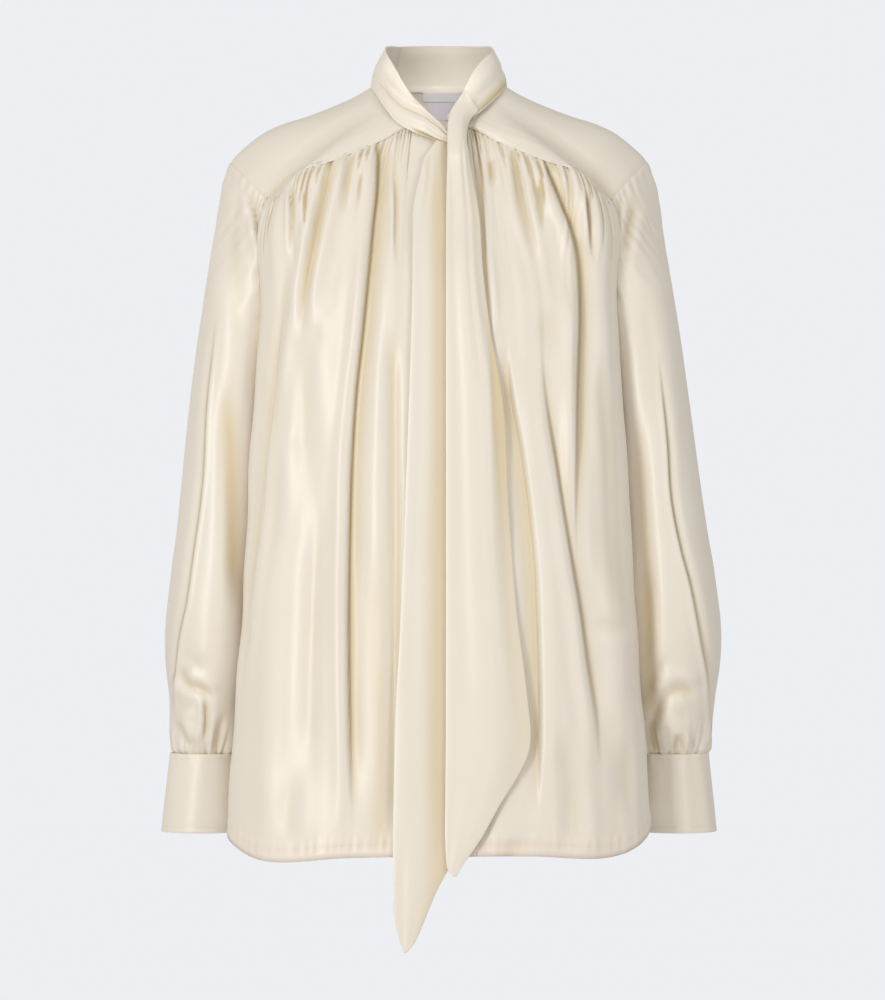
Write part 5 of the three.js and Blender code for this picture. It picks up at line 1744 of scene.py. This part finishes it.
@dataclass
class Collar:
    """The stand collar, whose front ends run down to the crossing of the ties."""

    cut: Cut
    columns: int = 290
    rows: int = 44

    def relief(self, along: Array, up: Array) -> tuple[Array, Array, Array]:
        """Height of the cloth over the smooth collar.

        Args:
            along: Shares along the collar, from the front end on the wearer's right.
            up: Shares up the collar.

        Returns:
            The height, and the painted golden shade and painted shadow on the satin.
        """
        station = along * COLLAR_STATIONS
        pulled = smooth((9.6 - station) / 3) * smooth((station - 0.6) / 1.6)
        crease = 0.36 + 0.5 * smooth((8.4 - station) / 5.5)
        groove = -2.6 * pulled * bell(up - crease, 0.085) + 1.8 * pulled * bell(up - crease - 0.2, 0.13)
        groove = groove + 1.3 * pulled * bell(up - crease + 0.28, 0.18)
        # Painted golden shade in the band's crease, and near the crossing in its gathers.
        gold_shade = 0.35 * pulled * bell(up - crease + 0.03, 0.07)
        knot = smooth((4.6 - station) / 3)
        gather = -0.9 * knot * (bell(up - 0.26, 0.07) + bell(up - 0.56, 0.07))
        gold_shade = np.maximum(gold_shade, 0.6 * knot * (bell(up - 0.26, 0.06) + bell(up - 0.56, 0.06)))
        # Painted golden shade and shadow in the narrow gap under the lower edge of the band on the wearer's right, near
        # the crossing.
        slit_shadow = smooth((station - 1.6) / 0.8) * smooth((5.2 - station) / 0.9) * bell(up - 0.02, 0.07)
        gold_shade = np.maximum(gold_shade, slit_shadow)
        second = smooth((station - 17.0) / 1.5) * smooth((22 - station) / 1.5)
        groove = groove - 1.6 * second * bell(up - 0.30 - 0.1 * (station - 18), 0.13)
        groove = groove + 1.0 * second * bell(up - 0.62, 0.2)
        # Painted golden shade under the lower edge of the band on the wearer's left.
        under = smooth((station - 15.5) / 2) * smooth((21.5 - station) / 1.5)
        gold_shade = np.maximum(gold_shade, 0.8 * under * bell(up - 0.06, 0.13))
        lean = smooth((station - 14.5) / 2) * smooth((19 - station) / 2)
        groove = groove - 1.1 * lean * bell(up - 0.25 - 0.12 * (station - 15), 0.12)
        seam = bell((along - 0.5) * 260, 0.9)
        soft = 0.6 * Ripples(91, 3.4).height(station, up) * smooth((station - 2) / 3)
        rolled = 0.7 * smooth((up - 0.82) / 0.18) - 0.4 * smooth((0.1 - up) / 0.1)
        height = groove + gather - 0.9 * seam + soft * np.sin(math.pi * np.clip(up, 0, 1)) + rolled
        # Painted shadow in the gap near the crossing and under the left band's lower edge; the centre-back seam also
        # gets a faint line.
        dark_shade = np.maximum(0.9 * slit_shadow, 0.5 * under * bell(up - 0.01, 0.04))
        return height, np.clip(gold_shade, 0, 1), np.maximum(dark_shade, 0.25 * seam)

    def build(self, room: Workroom) -> bpy.types.Object:
        """Make the collar and dress it.

        Args:
            room: Gives the finish and the last steps.

        Returns:
            The dressed piece.
        """
        along, up = np.broadcast_arrays(np.linspace(0, 1, self.columns)[None, :],
                                        np.linspace(-0.07, 1, self.rows)[:, None])
        inner = np.clip(along, 0.004, 0.996)
        facing = FORM.collar_facing(inner, np.clip(up, 0, 1))
        height, gold_shade, dark_shade = self.relief(along, up)
        points = FORM.collar(along, up) + facing * height[..., None]
        # The relief's painted golden shade and painted shadow go on the mesh.
        piece = Tailor.sheet("collar_satin", points, facing, {"hollow_shade": gold_shade, "crease": dark_shade})
        Tailor.thicken(piece, DOUBLE, 0.7)
        room.dress(piece, "collar", room.satin)
        return piece


TIE_OVER = Table(("drop", "left", "right", "proud", "recede"), (
    (56, 7.8, 29.2, 16, 1), (68, 7.6, 30.5, 13.5, 1.2), (119, 6.8, 38.9, 8.5, 2), (167, 6.7, 41.7, 8, 3),
    (222, 6.7, 48.2, 7.6, 4), (300, 6.7, 61.2, 7.2, 5.5), (390, 6.7, 65.8, 7.2, 6.5), (492, 6.7, 73.4, 7.2, 7),
    (560, 6.6, 82, 7.2, 7), (613, 6.5, 86.3, 7.2, 6.5), (633, 6.3, 81.7, 7.2, 5), (676, 6, 56.3, 7.2, 2),
    (706, 5.8, 39.4, 7.2, 1), (735, 8.5, 19.8, 7.2, 0), (741, 13, 17, 7.2, 0),
))
OVER_HEAD = (
    ((24.3, -52.2, 5.2), (38.4, -59.8, -15.6)), ((17.6, -58.6, -5.2), (32.4, -64.2, -21.6)),
    ((12.2, -66, -14), (28.9, -70.2, -29)), ((9, -73, -23.5), (27.4, -75.6, -37)),
    ((7.9, -78.3, -35.5), (27.6, -79.4, -46)),
)
TIE_UNDER = Table(("drop", "left", "right", "proud", "recede"), (
    (52, -8, 9, 5.4, 0), (62, -14.5, 9, 5.2, 0), (78, -18, 10, 4.8, 0), (106, -23.7, 12, 4.8, 0),
    (150, -25, 14, 4.4, 0), (199, -25.4, 17, 3.6, 0), (294, -28.2, 21, 3.4, 0), (370, -31, 23, 3.3, 0),
    (444, -33.7, 25, 3.3, 0), (529, -37.5, 26, 3.3, 0), (576, -40.2, 27, 3.3, 0), (640, -42, 27.4, 3.3, 0),
    (706, -43, 27, 3.3, 0), (735, -43, 9.1, 3.3, 0), (757, -43, -2.7, 3.3, 0), (782, -41.6, -13, 3.3, 0),
    (803, -36.4, -22.4, 3.3, 0), (813, -33, -30.5, 3.3, 0),
))
# Painted golden shade on the over tie's right strip where it turns back, by drop: where it starts, where it is full,
# how strong it is, and how far the rest stands out.
OVER_SHADE = Table(("drop", "start", "end", "gold_shade", "rise"), (
    (0, 20, 30, 0.1, 0), (56, 20, 31, 0.25, 0.6), (200, 33, 47, 0.3, 1), (240, 44, 50, 0.8, 1), (330, 48, 55, 0.9, 1),
    (380, 48, 60, 0.75, 1), (450, 46, 68, 0.5, 1), (560, 44, 80, 0.4, 1), (741, 40, 80, 0.3, 1),
))
# Painted golden shade on the under tie next to the over tie's edge, with the same columns.
UNDER_SHADE = Table(("drop", "start", "end", "gold_shade", "rise"), (
    (0, -8, 3, 0.5, 0), (56, -8, 3, 0.5, 0.5), (106, -16, 2, 0.75, 1.5), (199, -14, 3, 0.75, 2), (294, -16, 3, 0.75, 2),
    (444, -20, 2, 0.75, 2.2), (640, -24, 2, 0.8, 2.4), (735, -22, 4, 0.7, 1.5), (813, -34, -12, 0.4, 0.5),
))
UNDER_HEAD = (
    ((1.5, -66.5, -35), (9, -66.5, -33)), ((-1.5, -70, -41.5), (9, -69.5, -40)),
)


@dataclass
class Tie:
    """A long double tie that rolls out of the crossing at the neck and hangs.

    Attributes:
        name: The piece's name, and the solid it stands for.
        table: Its edges by drop.
        head: Left and right edge points from the crossing down to the table.
        cut: Its flat cut.
        bend: Where across the tie its right strip turns back.
        folds: Its soft folds, as shares across and millimetres of drop.
        shade: Where painted golden shade lies across each drop, and how far the rest stands out.
        puff: How far its middle stands out near the crossing.
        seed: Fixed seed of its soft waves.
    """

    name: str
    table: Table
    head: tuple[tuple[tuple[float, float, float], tuple[float, float, float]], ...]
    cut: Cut
    bend: float
    folds: tuple[Fold, ...]
    shade: Table
    puff: float
    seed: int
    rows: int = 270
    columns: int = 38

    def edges(self) -> tuple[Curve, Curve, Array, Array]:
        """Left and right edges, with the rows' receding strip and middle drops.

        Returns:
            Both edges, the strip's depth and the drop of each row.
        """
        left = [a for a, _ in self.head]
        right = [b for _, b in self.head]
        recede = [0.0] * len(self.head)
        for drop, west, east, proud, back in self.table.rows:
            y = float(FORM.centre_front(np.array([float(drop)]))[0]) - proud
            left.append((west, y, -drop))
            right.append((east, y, -drop))
            recede.append(back)
        middle = [-(a[2] + b[2]) / 2 for a, b in zip(left, right)]
        return Curve(left), Curve(right), np.array(recede), np.array(middle)

    def build(self, room: Workroom) -> bpy.types.Object:
        """Make the tie and dress it.

        Args:
            room: Gives the finish and the last steps.

        Returns:
            The dressed piece.
        """
        left, right, recede, middle = self.edges()
        last = len(middle) - 1
        even = np.interp(np.linspace(middle[0], middle[-1], self.rows), middle, np.arange(last + 1)) / last
        back = np.interp(even * last, np.arange(last + 1), recede)

        def surface(row: Array, across: Array) -> Array:
            """Points on the tie's front face.

            Args:
                row: Shares down the tie.
                across: Shares across it.

            Returns:
                One point for each place.
            """
            west, east = left.at(row), right.at(row)
            turned = np.interp(row, even, back) * smooth((across - self.bend) / (1.02 - self.bend))
            drop = -(west[..., 2] + east[..., 2]) / 2
            puff = 0.6 + self.puff * bell(np.maximum(drop - middle[0] - 20, 0), 75)
            puff = puff * np.sin(math.pi * across) ** 0.8
            return west + (east - west) * across[..., None] + stack(0.0, turned - puff, 0.0)

        row, across = np.broadcast_arrays(even[:, None], np.linspace(0, 1, self.columns)[None, :])
        inner = np.clip(row, 0.002, 0.998)
        facing = -FORM.facing(surface, inner, np.clip(across, 0.04, 0.96), 0.002, 0.04)
        base = surface(row, across)
        drop = -base[..., 2]
        place = 60 * across
        lift, gold_shade, dark_shade = press_all(self.folds, place, drop)
        start, end = self.shade.read("start", drop), self.shade.read("end", drop)
        slope = smooth((base[..., 0] - start) / (end - start))
        lift = lift + 0.25 * Ripples(self.seed, 34, 0.02).height(place, drop)
        lift = lift + self.shade.read("rise", drop) * (0.5 - slope)
        lift = lift - 0.5 * (bell(across, 0.035) + bell(1 - across, 0.035))
        ends = smooth((drop - middle[0]) / 20 + 0.2) * smooth((middle[-1] - drop) / 25 + 0.1)
        points = base + facing * (lift * ends)[..., None]
        # Painted golden shade across the tie and in its folds, and painted crease shadow.
        shades = {"hollow_shade": np.maximum(self.shade.read("gold_shade", drop) * slope, 0.7 * gold_shade), "crease": 0.5 * dark_shade}
        piece = Tailor.sheet(f"{self.name}_satin", points, facing, shades)
        Tailor.thicken(piece, 1.5, 0.6)
        room.dress(piece, self.name, room.satin)
        return piece


@dataclass
class NeckPlate:
    """A small woven plate on the inside of the yoke at the back neck, built bare."""

    name: str
    half_width: float
    top: float
    bottom: float
    cut: Cut
    x: float = 3.0
    thick: float = 0.7
    gap: float = 0.5

    def build(self, room: Workroom, slot: str, finish: bpy.types.Material) -> bpy.types.Object:
        """Make the plate and dress it.

        Args:
            room: Gives the finish and the last steps.
            slot: Not used.
            finish: Its material.

        Returns:
            The dressed piece.
        """
        across, offset = np.broadcast_arrays(np.linspace(self.top, self.bottom, 22)[:, None],
                                             np.linspace(-self.half_width, self.half_width, 44)[None, :])
        spread = 161 + (550 - 161) * across
        along = 1 - (self.x + offset) / spread
        facing = FORM.yoke_facing(along, across)
        base = FORM.yoke(along, across) - facing * (CLOTH + self.gap + 0.3)
        corner = smooth((self.half_width - np.abs(offset)) / 1.5)
        points = base - facing * (0.15 * corner)[..., None]
        inward = -facing
        piece = Tailor.sheet(f"{self.name}_weave", points, inward, {})
        Tailor.thicken(piece, 0.5, 0.15)
        room.dress(piece, self.name, finish)
        return piece


@dataclass
class StitchRows:
    """Short stitches that follow lines on the cloth, made with Geometry Nodes, in millimetres."""

    pitch: float = 2.7
    length: float = 1.9
    radius: float = 0.2

    def tree(self, finish: bpy.types.Material) -> bpy.types.NodeTree:
        """Build the node tree, with its sizes as named inputs.

        Args:
            finish: Material of the thread.

        Returns:
            The node tree.
        """
        tree = bpy.data.node_groups.new("stitch_rows", "GeometryNodeTree")
        face = tree.interface
        face.new_socket("Line", in_out="INPUT", socket_type="NodeSocketGeometry")
        for name in ("Pitch", "Length", "Radius"):
            face.new_socket(name, in_out="INPUT", socket_type="NodeSocketFloat")
        face.new_socket("Stitches", in_out="OUTPUT", socket_type="NodeSocketGeometry")
        new, link = tree.nodes.new, tree.links.new
        given, result = new("NodeGroupInput"), new("NodeGroupOutput")
        curve = new("GeometryNodeMeshToCurve")
        spaced = new("GeometryNodeResampleCurve")
        spaced.mode = "LENGTH"
        tangent = new("GeometryNodeInputTangent")
        outward = new("GeometryNodeInputNamedAttribute")
        outward.data_type = "FLOAT_VECTOR"
        outward.inputs["Name"].default_value = "outward"
        keep = new("GeometryNodeStoreNamedAttribute")
        keep.data_type = "FLOAT_VECTOR"
        keep.inputs["Name"].default_value = "run"
        points = new("GeometryNodeCurveToPoints")
        points.mode = "EVALUATED"
        run = new("GeometryNodeInputNamedAttribute")
        run.data_type = "FLOAT_VECTOR"
        run.inputs["Name"].default_value = "run"
        along = new("FunctionNodeAlignRotationToVector")
        along.axis = "X"
        stand = new("FunctionNodeAlignRotationToVector")
        stand.axis = "Z"
        stand.pivot_axis = "X"
        ball = new("GeometryNodeMeshIcoSphere")
        ball.inputs["Subdivisions"].default_value = 1
        ball.inputs["Radius"].default_value = 1.0
        half = new("ShaderNodeMath")
        half.operation = "MULTIPLY"
        half.inputs[1].default_value = 0.5
        size = new("ShaderNodeCombineXYZ")
        place = new("GeometryNodeInstanceOnPoints")
        real = new("GeometryNodeRealizeInstances")
        soft = new("GeometryNodeSetShadeSmooth")
        paint = new("GeometryNodeSetMaterial")
        paint.inputs["Material"].default_value = finish
        link(given.outputs["Line"], curve.inputs["Mesh"])
        link(curve.outputs["Curve"], spaced.inputs["Curve"])
        link(given.outputs["Pitch"], spaced.inputs["Length"])
        link(spaced.outputs["Curve"], keep.inputs["Geometry"])
        link(tangent.outputs["Tangent"], keep.inputs["Value"])
        link(keep.outputs["Geometry"], points.inputs["Curve"])
        link(run.outputs[0], along.inputs["Vector"])
        link(along.outputs["Rotation"], stand.inputs["Rotation"])
        link(outward.outputs[0], stand.inputs["Vector"])
        link(points.outputs["Points"], place.inputs["Points"])
        link(ball.outputs["Mesh"], place.inputs["Instance"])
        link(stand.outputs["Rotation"], place.inputs["Rotation"])
        link(given.outputs["Length"], half.inputs[0])
        link(half.outputs[0], size.inputs["X"])
        link(given.outputs["Radius"], size.inputs["Y"])
        link(given.outputs["Radius"], size.inputs["Z"])
        link(size.outputs[0], place.inputs["Scale"])
        link(place.outputs["Instances"], real.inputs["Geometry"])
        link(real.outputs["Geometry"], soft.inputs["Geometry"])
        link(soft.outputs["Geometry"], paint.inputs["Geometry"])
        link(paint.outputs["Geometry"], result.inputs["Stitches"])
        return tree

    def build(self, room: Workroom, name: str, lines: list[tuple[Array, Array]]) -> bpy.types.Object:
        """Sew along lines on the cloth.

        Args:
            room: Gives the finish and the last steps.
            name: The piece's name.
            lines: Points in millimetres and outward directions of each line.

        Returns:
            The stitches as one plain mesh.
        """
        points = np.concatenate([line for line, _ in lines])
        outward = np.concatenate([out for _, out in lines])
        edges, start = [], 0
        for line, _ in lines:
            edges += [(start + k, start + k + 1) for k in range(len(line) - 1)]
            start += len(line)
        mesh = bpy.data.meshes.new(name)
        mesh.from_pydata(((points + outward * self.radius * 0.4) * MM).tolist(), edges, [])
        store = mesh.attributes.new("outward", "FLOAT_VECTOR", "POINT")
        store.data.foreach_set("vector", outward.astype(np.float32).ravel())
        piece = bpy.data.objects.new(name, mesh)
        bpy.context.scene.collection.objects.link(piece)
        sewn = piece.modifiers.new("stitches", "NODES")
        sewn.node_group = self.tree(room.satin)
        sizes = {"Pitch": self.pitch, "Length": self.length, "Radius": self.radius}
        for item in sewn.node_group.interface.items_tree:
            if item.in_out == "INPUT" and item.name in sizes:
                sewn[item.identifier] = sizes[item.name] * MM
        Tailor.settle(piece)
        for stray in list(piece.data.attributes):
            if stray.name in ("outward", "run"):
                piece.data.attributes.remove(stray)
        room.dress(piece, None, room.satin)
        return piece


@dataclass
class Studio:
    """The camera, the soft lights and the pale room."""

    backdrop: Colour = (0.855, 0.871, 0.904, 1)
    floor_z: float = -1.35

    def camera(self) -> None:
        """Set the camera where the blouse is seen straight from the front."""
        data = bpy.data.cameras.new("camera")
        data.sensor_width = 36
        data.lens = 167.0
        data.clip_end = 60
        camera = bpy.data.objects.new("camera", data)
        camera.location = (0.0034, -4.5, -0.388)
        camera.rotation_euler = (math.pi / 2, 0, 0)
        bpy.context.scene.collection.objects.link(camera)
        bpy.context.scene.camera = camera

    def light(self, name: str, place: tuple[float, float, float], target: tuple[float, float, float],
              size: tuple[float, float], power: float, colour: tuple[float, float, float],
              spread: float = 180) -> bpy.types.Object:
        """Add one soft light.

        Args:
            name: Its name.
            place: Where it stands.
            target: What it points at.
            size: Width and height of its face.
            power: Its power in watts.
            colour: Its colour.
            spread: Angle of its beam in degrees.

        Returns:
            The lamp.
        """
        data = bpy.data.lights.new(name, "AREA")
        data.spread = math.radians(spread)
        data.shape = "RECTANGLE"
        data.size, data.size_y = size
        data.energy = power
        data.color = colour
        lamp = bpy.data.objects.new(name, data)
        aim = np.array(target) - np.array(place)
        lamp.rotation_euler = Vector(aim).to_track_quat("-Z", "Y").to_euler()
        lamp.location = place
        bpy.context.scene.collection.objects.link(lamp)
        return lamp

    def build(self) -> None:
        """Put the studio together."""
        self.camera()
        bpy.context.scene.view_settings.view_transform = "Standard"
        middle = (0.0, 0.0, -0.38)
        self.light("key", (-1.9, -3.2, 0.0), middle, (0.8, 2.0), 52, (1.0, 0.99, 0.975))
        self.light("fill", (2.2, -2.9, 0.1), middle, (0.8, 2.0), 16, (0.985, 0.99, 1.0))
        self.light("front", (0.1, -4.2, 0.6), middle, (1.2, 0.6), 7, (1.0, 0.99, 0.97))
        self.light("over", (0.0, -0.4, 2.1), middle, (1.6, 1.2), 1.5, (1.0, 1.0, 1.0))
        self.light("neck", (-0.012, -1.0, 0.37), (-0.004, 0.06, -0.006), (0.04, 0.04), 0.0095, (1.0, 0.99, 0.97), 6)
        behind = self.light("behind", (-1.6, 3.3, 0.2), middle, (1.4, 1.6), 38, (1.0, 0.99, 0.97))
        behind.visible_glossy = False
        world = bpy.data.worlds.new("room")
        world.use_nodes = True
        world.node_tree.nodes["Background"].inputs["Color"].default_value = (1.0, 0.975, 0.94, 1)
        world.node_tree.nodes["Background"].inputs["Strength"].default_value = 0.55
        bpy.context.scene.world = world
        self.room()

    def room(self) -> None:
        """A pale floor that curves up all round into a plain backdrop."""
        book = ShaderBook("pale_room")
        glow = book.add("ShaderNodeEmission", {}, {"Color": self.backdrop, "Strength": 1.0})
        matt = book.add("ShaderNodeBsdfDiffuse", {}, {"Color": (0.7, 0.71, 0.73, 1)})
        mixed = book.add("ShaderNodeMixShader", {}, {0: 0.02, 1: glow.outputs[0], 2: matt.outputs[0]})
        profile = [(0.0, self.floor_z), (5.0, self.floor_z)]
        for step in range(1, 17):
            angle = math.pi / 2 * step / 16
            profile.append((5.0 + 5.0 * math.sin(angle), self.floor_z + 5.0 * (1 - math.cos(angle))))
        for step in range(1, 17):
            angle = math.pi / 2 * step / 16
            profile.append((10.0 * math.cos(angle), self.floor_z + 5.0 + 6.0 * math.sin(angle)))
        sides = 48
        points = [(r * math.cos(2 * math.pi * k / sides), r * math.sin(2 * math.pi * k / sides), z)
                  for r, z in profile[1:-1] for k in range(sides)]
        rings = len(profile) - 2
        faces = [(j * sides + k, (j + 1) * sides + k, (j + 1) * sides + (k + 1) % sides, j * sides + (k + 1) % sides)
                 for j in range(rings - 1) for k in range(sides)]
        faces.append(tuple(range(sides)))
        faces.append(tuple((rings - 1) * sides + k for k in reversed(range(sides))))
        mesh = bpy.data.meshes.new("studio_room")
        mesh.from_pydata(points, [], faces)
        mesh.materials.append(book.close(mixed))
        shell = bpy.data.objects.new("studio_room", mesh)
        shell.visible_diffuse = False
        shell.visible_glossy = False
        shell.visible_shadow = False
        bpy.context.scene.collection.objects.link(shell)


class Blouse:
    """The whole blouse, built from its pieces in the order a maker sews them."""

    def __init__(self) -> None:
        """Mix the finishes."""
        self.room = Workroom(
            satin=SatinFinish().make(),
            label=WovenFinish("white_label", (0.93, 0.92, 0.96, 1), (0.85, 0.84, 0.9, 1)).make(),
            # The size tab's darker lilac is partly its own colour and partly painted shade, where it hangs under the
            # collar's edge.
            tab=WovenFinish("tab_lilac_and_shade", (0.84, 0.79, 0.88, 1), (0.76, 0.7, 0.8, 1)).make(),
            button=ButtonFinish().make(),
        )

    def panels(self) -> list[BodyPanel]:
        """The two fronts and the back.

        Returns:
            The panels, in the order they are made.
        """
        return [
            FrontPanel("front_right", 246, RIGHT_FRONT_FOLDS,
                       (Gathers(27, FRONT_SEAM_LENGTH, 5), Gathers(44, FRONT_SEAM_LENGTH, 6, 0.5, (5, 22))),
                       101, Cut(0.46, 0.72, 0.27, Hold.GATHERED, ("yoke",)), side=Side.RIGHT),
            FrontPanel("front_left", 246, LEFT_FRONT_FOLDS,
                       (Gathers(27, FRONT_SEAM_LENGTH, 7), Gathers(44, FRONT_SEAM_LENGTH, 8, 0.5, (5, 22))),
                       111, Cut(0.46, 0.72, 0.25, Hold.GATHERED, ("yoke",)), side=Side.LEFT),
            BackPanel("back", 256, BACK_FOLDS, (Gathers(31, 2 * BACK_SEAM_LENGTH, 9, 1.3),),
                      121, Cut(0.8, 0.64, 0.42, Hold.GATHERED, ("yoke",)), rows=118),
        ]

    def build(self) -> None:
        """Make every piece."""
        room = self.room
        stitches = StitchRows()
        for panel in self.panels():
            piece = panel.build(room)
            line = panel.hem_line(HEM_WIDTH)
            hem = stitches.build(room, f"{panel.name}_hem_stitches", [line])
            panel.cut.declare(piece, (hem,))
        yoke = Yoke(Cut(0.46, 0.36, 0.094, Hold.LAID, ("back",)))
        yoke.cut.declare(yoke.build(room))
        for side, reach, seed in ((Side.LEFT, 4.0, 3), (Side.RIGHT, -4.0, 8)):
            sleeve = Sleeve(side, Cut(0.42, 0.56, 0.19, Hold.HUNG, ("yoke",)), reach, seed)
            sleeve.cut.declare(sleeve.build(room))
            cuff = Cuff(side, Cut(0.26, 0.078, 0.0195, Hold.FOLDED, (f"sleeve_{side.word}",)))
            made = cuff.build(room)
            rows = stitches.build(room, f"cuff_{side.word}_stitches", self.cuff_lines(cuff))
            cuff.cut.declare(made, (rows,))
            CuffButton(cuff).build(room)
        collar = Collar(Cut(0.44, 0.06, 0.017, Hold.FOLDED, ("yoke",)))
        collar.cut.declare(collar.build(room))
        over = Tie("tie_over", TIE_OVER, OVER_HEAD, Cut(0.09, 0.76, 0.041, Hold.HUNG, ("collar",)), 0.62, (
            Fold(((15, 50), (14, 200), (15, 420), (17, 620)), 0.8, 6, 0.5, 60, 90, Wall.NONE, 0, 0),
            Fold(((41, 40), (38, 140), (39, 300)), 0.9, 4, 0.4, 30, 60, Wall.NONE, 0.2, 0),
        ), OVER_SHADE, 3.2, 41)
        over.cut.declare(over.build(room))
        under = Tie("tie_under", TIE_UNDER, UNDER_HEAD, Cut(0.075, 0.78, 0.045, Hold.HUNG, ("collar",)), 0.6, (
            Fold(((12, 56), (18, 80), (20, 130)), 1.2, 4, 0.5, 10, 60, Wall.NONE, 0.6, 0.3),
            Fold(((10, 560), (12, 690), (24, 770)), -0.8, 6, 0.2, 60, 30, Wall.NONE, 0, 0),
        ), UNDER_SHADE, 2.0, 43)
        under.cut.declare(under.build(room))
        label = NeckPlate("label", 17, 0.012, 0.088, Cut(0.034, 0.0105, 0.00035, Hold.LAID, ("yoke",)))
        label.cut.declare(label.build(room, "label", room.label))
        tab = NeckPlate("size_tab", 12.2, 0.092, 0.235, Cut(0.0245, 0.0205, 0.00048, Hold.LAID, ("yoke",)))
        tab.cut.declare(tab.build(room, "size_tab", room.tab))

    @staticmethod
    def cuff_lines(cuff: Cuff) -> list[tuple[Array, Array]]:
        """Lines of topstitching near both edges of a cuff.

        Args:
            cuff: The cuff.

        Returns:
            Points and outward directions of each line.
        """
        lines = []
        side = float(cuff.side.value)
        for drop in (cuff.top + 5, cuff.bottom - 6):
            turn = np.linspace(3, 357 + cuff.lap, 160)
            level = np.full_like(turn, drop)
            lines.append((FORM.mirrored(cuff.surface(turn, level), side),
                          FORM.mirrored(cuff.facing(turn, level), side)))
        return lines


def main() -> None:
    """Build the studio and the blouse, and note how big it came out."""
    logging.basicConfig(level=logging.INFO, format="%(message)s")
    Studio().build()
    Blouse().build()


if __name__ == "__main__":
    main()
